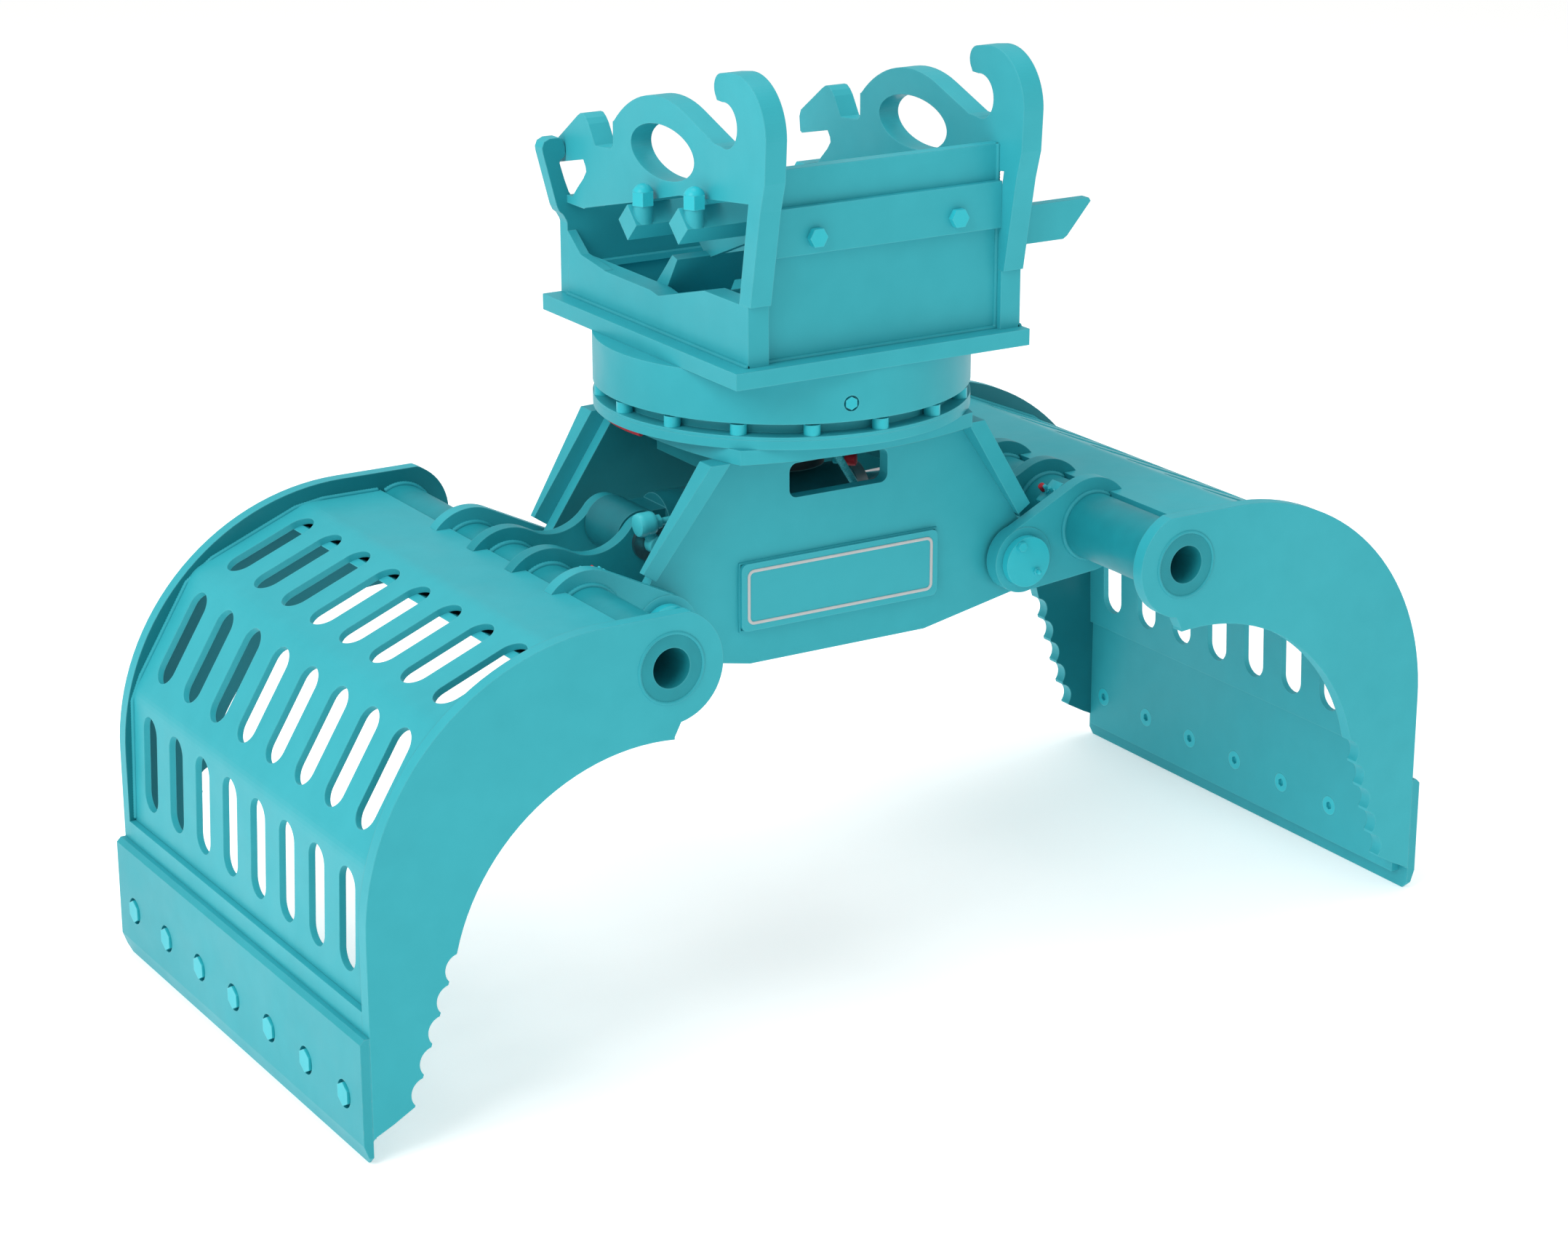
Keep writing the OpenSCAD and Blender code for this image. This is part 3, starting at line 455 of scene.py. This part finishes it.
class Shop:
    """Shared modelling steps: primitives, modifiers and riding on a body."""

    doubled = 0.02 * MM
    rib_gap = 0.2 * MM
    end_gap = 0.3 * MM
    crest = 0.55

    def __init__(self, palette: Palette) -> None:
        """Keep the finishes.

        Args:
            palette: The materials of the object.
        """
        self.palette = palette
        self.made: list[str] = []

    @staticmethod
    def clear() -> None:
        """Deselect everything."""
        bpy.ops.object.select_all(action="DESELECT")

    @staticmethod
    def only(piece: bpy.types.Object) -> None:
        """Select one object and make it active."""
        Shop.clear()
        piece.select_set(True)
        bpy.context.view_layer.objects.active = piece

    @staticmethod
    def apply(piece: bpy.types.Object) -> None:
        """Apply every modifier of a piece, in order."""
        Shop.only(piece)
        for modifier in list(piece.modifiers):
            bpy.ops.object.modifier_apply(modifier=modifier.name)

    @staticmethod
    def settle(piece: bpy.types.Object) -> None:
        """Apply a piece's place, turn and size to its mesh."""
        Shop.only(piece)
        bpy.ops.object.transform_apply(location=True, rotation=True, scale=True)

    @staticmethod
    def outward(piece: bpy.types.Object) -> None:
        """Merge doubled points and turn every face outwards."""
        Shop.only(piece)
        bpy.ops.object.mode_set(mode="EDIT")
        bpy.ops.mesh.select_all(action="SELECT")
        bpy.ops.mesh.remove_doubles(threshold=Shop.doubled)
        bpy.ops.mesh.normals_make_consistent(inside=False)
        bpy.ops.object.mode_set(mode="OBJECT")

    def join(self, pieces: Sequence[bpy.types.Object], name: str) -> bpy.types.Object:
        """Join pieces into one object.

        Args:
            pieces: The objects to join.
            name: Name of the result.

        Returns:
            The joined object.
        """
        self.clear()
        for piece in pieces:
            piece.select_set(True)
        bpy.context.view_layer.objects.active = pieces[0]
        if len(pieces) > 1:
            bpy.ops.object.join()
        pieces[0].name = name
        return pieces[0]

    def hand_over(
        self, piece: bpy.types.Object, name: str, body: Body, finish: str, slot: Slot,
        smooth: float = 40.0,
    ) -> None:
        """Name a finished piece, dress it and let it ride on its body.

        Args:
            piece: The piece.
            name: Its name.
            body: The body it moves with.
            finish: Name of its finish in the palette.
            slot: Not used.
            smooth: Largest angle in degrees that is shaded smooth.
        """
        self.settle(piece)
        bpy.ops.object.shade_smooth_by_angle(angle=math.radians(smooth))
        piece.name = name
        piece.data.materials.clear()
        piece.data.materials.append(self.palette[finish])
        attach(piece, body.value)
        self.made.append(name)
        LOG.info("%s rides on %s", name, body.value)

    def sweep(
        self, points: Sequence[Point], radius: float, closed: bool = False,
        pitch: float = 5.0 * MM, sides: int = 8, swell: float = 1.22,
    ) -> bpy.types.Object:
        """A ribbed round bar along a path: a weld bead, or a pipe where nothing swells.

        Args:
            points: The path, in metres.
            radius: Half width of the bar, in metres.
            closed: Whether the path runs back to its start.
            pitch: Length of one rib.
            sides: Number of faces round the bar.
            swell: Width of a rib's crest as a share of its foot.

        Returns:
            The bar.
        """
        ring = list(points) + ([points[0]] if closed else [])
        length = sum((Vector(b) - Vector(a)).length for a, b in zip(ring, ring[1:]))
        count = max(2, int(length / pitch))
        step = length / count
        bpy.ops.mesh.primitive_cylinder_add(
            vertices=sides, radius=radius, depth=step, end_fill_type="NOTHING",
            location=(step / 2, 0, 0), rotation=(0, math.pi / 2, 0),
        )
        bar = bpy.context.active_object
        bpy.ops.object.transform_apply(location=True, rotation=True, scale=True)
        bpy.ops.object.mode_set(mode="EDIT")
        bpy.ops.mesh.select_all(action="SELECT")
        crest = step * self.crest
        bpy.ops.mesh.bisect(plane_co=(crest, 0, 0), plane_no=(1, 0, 0))
        bpy.ops.transform.resize(value=(1, swell, swell), center_override=(crest, 0, 0))
        bpy.ops.object.mode_set(mode="OBJECT")
        repeat = bar.modifiers.new("ribs", "ARRAY")
        repeat.count = count
        repeat.use_relative_offset = False
        repeat.use_constant_offset = True
        repeat.constant_offset_displace = (step, 0, 0)
        repeat.use_merge_vertices = True
        repeat.merge_threshold = self.rib_gap
        guide = self.guide(points, closed)
        bend = bar.modifiers.new("path", "CURVE")
        bend.object = guide
        bend.deform_axis = "POS_X"
        self.apply(bar)
        bpy.data.objects.remove(guide)
        bpy.ops.object.mode_set(mode="EDIT")
        bpy.ops.mesh.select_all(action="SELECT")
        if closed:
            bpy.ops.mesh.remove_doubles(threshold=self.end_gap)
        bpy.ops.mesh.select_all(action="DESELECT")
        bpy.ops.mesh.select_mode(type="EDGE")
        bpy.ops.mesh.select_non_manifold(
            extend=False, use_wire=False, use_multi_face=False, use_non_contiguous=False,
            use_verts=False,
        )
        if not closed:
            bpy.ops.mesh.edge_face_add()
        bpy.ops.object.mode_set(mode="OBJECT")
        return bar

    def nut(
        self, start: Point, along: Point, width: float, length: float, sides: int = 6,
        chamfer: float = 0.12,
    ) -> bpy.types.Object:
        """A chamfered nut, collar or cap on an axis.

        Args:
            start: Middle of its foot, in metres.
            along: Direction from its foot to its head.
            width: Its size across the corners, in metres.
            length: Its length.
            sides: Number of its sides.
            chamfer: Height of the chamfered ends as a share of the length; half of it is
                their width as a share of the width.

        Returns:
            The nut.
        """
        axis = Vector(along).normalized()
        middle = Vector(start) + axis * length / 2
        bpy.ops.mesh.primitive_cylinder_add(
            vertices=sides, radius=width / 2, depth=length, location=middle,
            rotation=axis.to_track_quat("Z", "Y").to_euler(),
        )
        nut = bpy.context.active_object
        self.settle(nut)
        belt = axis * length * (0.5 - chamfer)
        bpy.ops.object.mode_set(mode="EDIT")
        for cut in (middle + belt, middle - belt):
            bpy.ops.mesh.select_all(action="SELECT")
            bpy.ops.mesh.bisect(plane_co=cut, plane_no=axis)
        bpy.ops.object.mode_set(mode="OBJECT")
        soft = nut.modifiers.new("soft", "BEVEL")
        soft.width = width * chamfer * 0.5
        soft.segments = 2
        soft.limit_method = "ANGLE"
        self.apply(nut)
        return nut

    def guide(self, points: Sequence[Point], closed: bool) -> bpy.types.Object:
        """A path curve through points, for a bead or a pipe to follow.

        Args:
            points: The path, in metres.
            closed: Whether it runs back to its start.

        Returns:
            The curve object.
        """
        data = bpy.data.curves.new("guide", "CURVE")
        data.dimensions = "3D"
        data.twist_mode = "MINIMUM"
        spline = data.splines.new("POLY")
        spline.points.add(len(points) - 1)
        for target, point in zip(spline.points, points):
            target.co = (*point, 1.0)
        spline.use_cyclic_u = closed
        curve = bpy.data.objects.new("guide", data)
        bpy.context.scene.collection.objects.link(curve)
        return curve


def arc(centre: Point, radius: float, start: float, end: float, steps: int) -> list[Point]:
    """Points on an arc in a plane across Y.

    Args:
        centre: Its centre, in metres.
        radius: Its radius, in metres.
        start: First angle from +X towards +Z, in degrees.
        end: Last angle.
        steps: Number of straight steps.

    Returns:
        The points, in order.
    """
    angles = [math.radians(start + (end - start) * i / steps) for i in range(steps + 1)]
    x, y, z = centre
    return [(x + radius * math.cos(a), y, z + radius * math.sin(a)) for a in angles]


def round_z(centre: Point, radius: float, start: float, end: float, steps: int) -> list[Point]:
    """Points on an arc in a level plane, angles from +X towards +Y in degrees."""
    angles = [math.radians(start + (end - start) * i / steps) for i in range(steps + 1)]
    x, y, z = centre
    return [(x + radius * math.cos(a), y + radius * math.sin(a), z) for a in angles]


def mirrored(points: Iterable[Point], side: float) -> list[Point]:
    """Points on the left, where side is -1, or on the right, where it is 1."""
    return [(side * x, y, z) for x, y, z in points]


def rounded(points: Sequence[Point], radius: float, steps: int = 8) -> list[Point]:
    """A path whose corners are rounded.

    Args:
        points: Ends and corners of the path, in metres.
        radius: Length that each corner takes from its two legs.
        steps: Straight steps in a corner.

    Returns:
        The points of the path.
    """
    path = [points[0]]
    for before, corner, after in zip(points, points[1:], points[2:]):
        here = Vector(corner)
        first = here + (Vector(before) - here).normalized() * radius
        last = here + (Vector(after) - here).normalized() * radius
        for i in range(steps + 1):
            share = i / steps
            rest = 1 - share
            path.append(tuple(rest ** 2 * first + 2 * share * rest * here + share ** 2 * last))
    path.append(points[-1])
    return path


@dataclass
class Welds:
    """Ripple beads laid along the seams of the plates."""

    shop: Shop

    def lay(self, name: str, body: Body, seams: Sequence[Seam]) -> None:
        """Lay several beads as one piece.

        Args:
            name: Name of the piece.
            body: The body that they ride on.
            seams: The seams.
        """
        beads = [self.shop.sweep(points, radius, closed) for points, radius, closed in seams]
        piece = self.shop.join(beads, name)
        self.shop.outward(piece)
        self.shop.hand_over(piece, name, body, "weld", Slot.BODY, smooth=180.0)


@dataclass
class Nodes:
    """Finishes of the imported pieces."""

    palette: Palette
    frame: dict
    finishes: dict[Slot, str] = field(default_factory=lambda: {
        Slot.BODY: "body", Slot.FASTENER: "fastener", Slot.KNIFE: "knife", Slot.PLATE: "plate",
        Slot.STEEL: "steel", Slot.DARK: "dark", Slot.DEEP: "deep", Slot.CHROME: "chrome",
    })
    # Nodes with painted shade: inner faces darkened, and levers and torsion tubes in the darker
    # lever coat.
    inner: dict[str, str] = field(default_factory=lambda: {
        "yoke_side_front": "yoke_plate", "yoke_side_rear": "yoke_plate",
        "yoke_top_plate": "yoke_roof", "head_rear_panel": "head_rear",
        "left_side_plates": "shell_side", "right_side_plates": "shell_side",
        "left_inner_levers": "lever", "right_inner_levers": "lever",
        "left_torsion_tube": "lever", "right_torsion_tube": "lever",
    })

    def dress(self) -> None:
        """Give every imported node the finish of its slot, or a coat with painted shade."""
        slots = {row["node"]: row["material_slot"] for row in self.frame["record"]["subparts"]}
        for name, node in self.frame["nodes"].items():
            finish = self.inner.get(name, self.finishes[Slot(slots[name])])
            node.data.materials.clear()
            node.data.materials.append(self.palette[finish])
            LOG.info("%s is dressed in %s", name, finish)


@dataclass
class Grapple:
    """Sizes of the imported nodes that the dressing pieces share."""

    bore: Point = (0.5155, 0.0, 0.731)
    inner_lever: float = 70 * MM
    outer_lever: float = 210 * MM
    lever: float = 25 * MM
    tube: float = 60 * MM
    shell_half: float = 0.5
    plate: float = 25 * MM

    @property
    def face(self) -> float:
        """Inner face of a shell's side plate."""
        return self.shell_half - self.plate


@dataclass
class ShellDress:
    """Weld beads on one shell."""

    shop: Shop
    sizes: Grapple
    side: float
    body: Body
    folds: tuple[tuple[float, float], ...] = (
        (0.560, 0.788), (0.668, 0.788), (0.722, 0.780), (0.885, 0.713), (0.935, 0.677),
        (0.957, 0.641), (1.030, 0.521), (1.048, 0.478), (1.055, 0.258),
    )
    tube_arc: tuple[float, float, int] = (60, 350, 40)
    lever_arc: tuple[float, float, int] = (52, 300, 32)
    end_arc: tuple[float, float, int] = (0, 354, 48)
    fold_bead: float = 4 * MM
    ring_bead: float = 4.5 * MM
    end_bead: float = 3 * MM

    def seams(self) -> list[Seam]:
        """Every seam of the shell: folds, tube ends and levers."""
        found: list[Seam] = []
        sizes = self.sizes
        x, _, z = sizes.bore
        for y in (-1.0, 1.0):
            fold = [(u, y * (sizes.face - LIFT), v + LIFT) for u, v in self.folds]
            found.append((mirrored(fold, self.side), self.fold_bead, False))
            ring = arc((x, y * sizes.face, z), sizes.tube + LIFT, *self.tube_arc)
            found.append((mirrored(ring, self.side), self.ring_bead, False))
            end = arc((x, y * (sizes.shell_half - LIFT), z), sizes.tube - LIFT, *self.end_arc)
            found.append((mirrored(end[:-1], self.side), self.end_bead, True))
        inner, outer = sizes.inner_lever, sizes.outer_lever
        for middle in (-outer, -inner, inner, outer):
            for face in (-1.0, 1.0):
                y = middle + face * (sizes.lever / 2 + LIFT)
                ring = arc((x, y, z), sizes.tube + LIFT, *self.lever_arc)
                found.append((mirrored(ring, self.side), self.ring_bead, False))
        return found

    def build(self) -> None:
        """Lay the shell's beads."""
        Welds(self.shop).lay(f"{self.body.value}_welds", self.body, self.seams())


@dataclass
class YokeDress:
    """Nameplate border and beads of the yoke."""

    shop: Shop
    border_line: float = 5.5 * MM
    border_inset: float = 11 * MM
    border_rise: float = 2.2 * MM
    border_edge: float = 0.5 * MM
    corner: float = 13 * MM
    roof_half: float = 236 * MM
    roof_foot: float = 961 * MM
    side_inner: float = 162 * MM
    side_outer: float = 187 * MM
    rim_bead: float = 2.5 * MM
    roof_bead: float = 5 * MM

    def border(self) -> None:
        """Raised light line round the bare field of the nameplate."""
        low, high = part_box("nameplate")
        inset = self.border_inset
        width = high.x - low.x - 2 * inset
        height = high.z - low.z - 2 * inset
        bpy.ops.mesh.primitive_plane_add(
            size=1, location=((low.x + high.x) / 2, low.y - 0.0002, (low.z + high.z) / 2),
            rotation=(math.pi / 2, 0, 0),
        )
        line = bpy.context.active_object
        line.scale = (width, height, 1)
        bpy.ops.object.transform_apply(location=False, rotation=False, scale=True)
        bpy.ops.object.mode_set(mode="EDIT")
        bpy.ops.mesh.select_all(action="SELECT")
        bpy.ops.mesh.bevel(offset=self.corner, segments=6, affect="VERTICES")
        bpy.ops.mesh.inset(thickness=self.border_line)
        bpy.ops.mesh.delete(type="FACE")
        bpy.ops.object.mode_set(mode="OBJECT")
        thick = line.modifiers.new("raised", "SOLIDIFY")
        thick.thickness = self.border_rise
        thick.offset = 0
        soft = line.modifiers.new("soft", "BEVEL")
        soft.width = self.border_edge
        soft.segments = 2
        self.shop.apply(line)
        self.shop.outward(line)
        self.shop.hand_over(line, "nameplate_border", Body.YOKE, "border", Slot.PLATE)

    def build(self) -> None:
        """Make the yoke's dressing pieces."""
        self.border()
        low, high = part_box("nameplate")
        face = high.y - LIFT
        rim = [(low.x, face, low.z), (high.x, face, low.z),
               (high.x, face, high.z), (low.x, face, high.z)]
        seams: list[Seam] = [(rim, self.rim_bead, True)]
        half, level = self.roof_half, self.roof_foot - LIFT
        for side in (-1.0, 1.0):
            for y in (side * (self.side_outer + LIFT), side * (self.side_inner - LIFT)):
                seams.append(([(-half, y, level), (half, y, level)], self.roof_bead, False))
        Welds(self.shop).lay("yoke_welds", Body.YOKE, seams)


@dataclass
class OilLines:
    """Elbow and pipe on the cylinder, pipe and capped port of the swivel, red ring seals."""

    shop: Shop
    pipe: float = 6.5 * MM
    collar: float = 27 * MM
    collar_l: float = 14 * MM
    sleeve: float = 24 * MM
    elbow: float = 32 * MM
    elbow_body: float = 42 * MM
    neck: float = 21 * MM
    block: float = 40 * MM
    cap: float = 22 * MM
    round_sides: int = 24
    line_y: float = -104 * MM
    line_z: float = 921 * MM
    foot_x: float = 122 * MM
    foot_z: float = 780 * MM
    seal_r: float = 315 * MM
    seal: float = 5.6 * MM
    seal_arc: float = 32.0

    def cylinder_port(self) -> None:
        """Elbow on the end of the cylinder's left pin, and the pipe from it to the barrel."""
        nut, sides = self.shop.nut, self.round_sides
        pin_low, pin_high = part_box("left_cylinder_pin")
        x, z, face = (pin_low.x + pin_high.x) / 2, (pin_low.z + pin_high.z) / 2, pin_low.y
        low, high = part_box("cylinder_barrel")
        y = self.line_y
        out, along = (0.0, -1.0, 0.0), (1, 0, 0.04)
        start, bend = (x, y, z), (x - 0.020, y, z + 0.038)
        port = (-0.165, -(high.z - low.z) / 2 + 0.002, z + 0.016)
        path = rounded([start, bend, (-0.19, y, z + 0.04), (port[0], y, port[2]), port], 0.014)
        rise = tuple(Vector(bend) - Vector(start))
        pieces = [
            nut((x, face + 0.001, z), out, self.collar, 0.010),
            nut((x, face - 0.008, z), out, self.sleeve, 0.012, sides),
            nut((x, y + 0.013, z), out, self.elbow, 0.026, sides, chamfer=0.3),
            nut((bend[0] - 0.016, y, bend[2]), along, self.elbow_body, 0.034, sides, chamfer=0.3),
            nut((bend[0] + 0.017, y, bend[2] + 0.0005), along, self.collar, 0.013),
            nut((port[0], port[1] + 0.001, port[2]), out, self.collar, self.collar_l),
            nut(start, rise, self.neck, 0.034, sides),
        ]
        self.finish("cylinder_port_elbow", pieces, Body.BARREL, "line", Slot.FASTENER)
        pipe = self.shop.sweep(path, self.pipe, pitch=3 * MM, sides=20, swell=1.0)
        self.finish("cylinder_port_pipe", [pipe], Body.BARREL, "line", Slot.FASTENER)

    def swivel_line(self) -> None:
        """Pipe from the swivel to a block on the front plate, and a spare port with a red cap."""
        nut = self.shop.nut
        low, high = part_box("swivel_housing")
        radius = (high.x - low.x) / 2
        level, x = self.line_z, self.foot_x
        foot_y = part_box("yoke_side_front")[1].y - 0.0005
        start = (0.030, -math.sqrt(radius ** 2 - 0.030 ** 2) + 0.002, level)
        foot = (x, foot_y, self.foot_z)
        path = rounded([start, (0.040, -0.098, level), (0.106, -0.108, 0.812),
                        (x, -0.112, self.foot_z), foot], 0.018)
        pipe = self.shop.sweep(path, self.pipe, pitch=4 * MM, sides=20, swell=1.12)
        collars = [
            nut(start, (0.15, -1, 0), self.collar, self.collar_l),
            nut(foot, (0, 1, 0), self.block, 0.016, sides=4),
            nut((x, foot_y + 0.015, self.foot_z), (0, 1, 0), self.collar, self.collar_l),
        ]
        self.finish("swivel_line", [pipe], Body.YOKE, "line", Slot.FASTENER)
        out = Vector((1.0, -1.0, 0.0)).normalized()
        port = Vector((0, 0, low.z + 0.010)) + out * (radius - 0.002)
        collars.append(nut(tuple(port), tuple(out), 0.020, 0.022))
        self.finish("swivel_collars", collars, Body.YOKE, "fastener", Slot.FASTENER)
        cap = nut(tuple(port + out * 0.0215), tuple(out), self.cap, 0.020,
                  self.round_sides, chamfer=0.2)
        self.finish("swivel_cap", [cap], Body.YOKE, "seal", Slot.DARK)

    def ring_seal(self) -> None:
        """Red seals under the overhanging sides of the ring flange."""
        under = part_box("yoke_ring_plate")[0].z - self.seal + 0.0003
        for name, start in (("left", 157.0), ("right", -23.0)):
            path = round_z((0, 0, under), self.seal_r, start, start + self.seal_arc, 24)
            bar = self.shop.sweep(path, self.seal, pitch=7 * MM, sides=12, swell=1.0)
            self.finish(f"ring_seal_{name}", [bar], Body.YOKE, "seal", Slot.DARK)

    def finish(
        self, name: str, pieces: Sequence[bpy.types.Object], body: Body, finish: str,
        slot: Slot,
    ) -> None:
        """Join, close and hand over pieces."""
        piece = self.shop.join(pieces, name)
        self.shop.outward(piece)
        self.shop.hand_over(piece, name, body, finish, slot, smooth=35.0)

    def build(self) -> None:
        """Make every line."""
        self.cylinder_port()
        self.swivel_line()
        self.ring_seal()


@dataclass
class GreaseBlock:
    """Block with nipples and a red cap on a torsion tube."""

    shop: Shop
    sizes: Grapple
    side: float
    body: Body
    middle: float = -160 * MM
    lean: float = 132.0
    block: Point = (0.034, 0.050, 0.016)
    block_edge: float = 2.2 * MM
    spacing: float = 15 * MM
    foot: float = 13 * MM
    nipple: float = 7.5 * MM

    def build(self) -> None:
        """Seat the block on the tube and screw the nipples in."""
        nut = self.shop.nut
        lean = math.radians(self.lean)
        out = Vector((math.cos(lean), 0, math.sin(lean)))
        axis = Vector((self.sizes.bore[0], self.middle, self.sizes.bore[2]))
        seat = axis + out * (self.sizes.tube - 0.003)
        bpy.ops.mesh.primitive_cube_add(
            size=1, location=seat + out * self.block[2] / 2,
            rotation=out.to_track_quat("Z", "Y").to_euler(),
        )
        block = bpy.context.active_object
        block.scale = self.block
        self.shop.settle(block)
        bpy.ops.object.mode_set(mode="EDIT")
        bpy.ops.mesh.select_all(action="SELECT")
        bpy.ops.mesh.bevel(offset=self.block_edge, segments=2)
        bpy.ops.object.mode_set(mode="OBJECT")
        top = seat + out * (self.block[2] - 0.0005)
        pieces = [block]
        for shift in (-self.spacing, 0.0):
            foot = top + Vector((0, shift, 0))
            pieces.append(nut(tuple(foot), tuple(out), self.foot, 0.007))
            tip = tuple(foot + out * 0.0065)
            pieces.append(nut(tip, tuple(out), self.nipple, 0.011, sides=16, chamfer=0.25))
        spare = tuple(top + Vector((0, self.spacing, 0)))
        cap = nut(spare, tuple(out), self.foot, self.foot, sides=16, chamfer=0.25)
        for name, group, finish, slot in (
            ("grease_block", pieces, "fastener", Slot.FASTENER),
            ("grease_cap", [cap], "seal", Slot.DARK),
        ):
            piece = self.shop.join(group, name)
            self.shop.only(piece)
            if self.side < 0:
                bpy.ops.transform.resize(value=(-1, 1, 1), center_override=(0, 0, 0))
            self.shop.settle(piece)
            self.shop.outward(piece)
            self.shop.hand_over(
                piece, f"{self.body.value}_{name}", self.body, finish, slot, smooth=35.0
            )


@dataclass
class HeadDress:
    """Beads between the plates of the head."""

    shop: Shop
    bead: float = 4 * MM

    def build(self) -> None:
        """Lay the head's beads."""
        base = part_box("head_base_plate")[1].z + LIFT
        left_low, left_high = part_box("head_wall_left")
        right_low, right_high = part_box("head_wall_right")
        low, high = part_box("head_front_panel")
        lines: list[list[Point]] = [
            [(left_low.x - LIFT, left_low.y, base), (left_low.x - LIFT, left_high.y, base)],
            [(right_high.x + LIFT, right_low.y, base), (right_high.x + LIFT, right_high.y, base)],
            [(low.x, low.y - LIFT, base), (high.x, low.y - LIFT, base)],
            [(left_high.x + LIFT, low.y, base), (left_high.x + LIFT, low.y, high.z)],
            [(right_low.x - LIFT, low.y, base), (right_low.x - LIFT, low.y, high.z)],
        ]
        seams = [(line, self.bead, False) for line in lines]
        Welds(self.shop).lay("head_welds", Body.HEAD, seams)


@dataclass
class Studio:
    """Camera, floor and soft light."""

    place: Point = (-3.25594, -5.26191, 2.65663)
    azimuth: float = -31.787
    elevation: float = 18.685
    lens: float = 83.83
    sensor: float = 36.0
    floor_size: float = 60.0
    floor_drop: float = 0.5 * MM
    floor_colour: str = "F7F7F6"
    floor_glow: float = 0.46
    fill: float = 0.54
    aim: Point = (0.0, 0.0, 0.8)
    panel_size: float = 5.0
    panels: tuple[tuple[Point, float], ...] = (
        ((-6.7, -1.9, 6.5), 365.0), ((0.5, 1.0, 8.0), 180.0), ((5.5, -6.0, 3.5), 36.0),
    )

    def camera(self) -> None:
        """Put the camera where the photograph was taken from."""
        data = bpy.data.cameras.new("camera")
        data.lens = self.lens
        data.sensor_width = self.sensor
        data.sensor_fit = "HORIZONTAL"
        data.clip_end = 100.0
        camera = bpy.data.objects.new("camera", data)
        bpy.context.scene.collection.objects.link(camera)
        turn, tilt = math.radians(self.azimuth), math.radians(self.elevation)
        level = math.cos(tilt)
        back = Vector((math.sin(turn) * level, -math.cos(turn) * level, math.sin(tilt)))
        camera.location = self.place
        camera.rotation_mode = "QUATERNION"
        camera.rotation_quaternion = (-back).to_track_quat("-Z", "Y")
        bpy.context.scene.camera = camera

    def floor(self) -> None:
        """Lay the pale floor."""
        bpy.ops.mesh.primitive_plane_add(size=self.floor_size, location=(0, 0, -self.floor_drop))
        floor = bpy.context.active_object
        floor.name = "floor"
        graph = Graph("pale_floor")
        floor.data.materials.append(graph.finish({
            "Base Color": srgb(self.floor_colour), "Roughness": 0.9,
            "Specular IOR Level": 0.1, "Emission Color": srgb(self.floor_colour),
            "Emission Strength": self.floor_glow,
        }))

    def panel(self, place: Point, power: float) -> None:
        """Hang one soft light that faces the grapple.

        Args:
            place: Where it hangs, in metres.
            power: Its power, in watts.
        """
        data = bpy.data.lights.new("panel", "AREA")
        data.size = self.panel_size
        data.energy = power
        light = bpy.data.objects.new("panel", data)
        light.location = place
        light.rotation_mode = "QUATERNION"
        ray = Vector(self.aim) - Vector(place)
        light.rotation_quaternion = ray.to_track_quat("-Z", "Y")
        bpy.context.scene.collection.objects.link(light)

    def world(self) -> None:
        """Even white surroundings."""
        world = bpy.data.worlds.new("studio")
        world.use_nodes = True
        background = world.node_tree.nodes["Background"]
        background.inputs["Color"].default_value = WHITE
        background.inputs["Strength"].default_value = self.fill
        bpy.context.scene.world = world
        bpy.context.scene.view_settings.view_transform = "Standard"

    def build(self) -> None:
        """Set up the whole studio."""
        self.camera()
        self.floor()
        self.world()
        for place, power in self.panels:
            self.panel(place, power)


def main() -> dict:
    """Build every piece in order and report it.

    Returns:
        The loaded frame.
    """
    logging.basicConfig(level=logging.INFO, format="%(name)s: %(message)s")
    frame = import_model()
    Shop.clear()
    Studio().build()
    palette = Palette()
    shop = Shop(palette)
    Nodes(palette, frame).dress()
    sizes = Grapple()
    steps: list[Callable[[], None]] = [
        ShellDress(shop, sizes, -1.0, Body.LEFT).build,
        ShellDress(shop, sizes, 1.0, Body.RIGHT).build,
        GreaseBlock(shop, sizes, -1.0, Body.LEFT).build,
        GreaseBlock(shop, sizes, 1.0, Body.RIGHT).build,
        YokeDress(shop).build, OilLines(shop).build, HeadDress(shop).build,
    ]
    for step in steps:
        step()
    LOG.info("%d pieces made", len(shop.made))
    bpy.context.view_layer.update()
    return frame


if __name__ == "__main__":
    main()
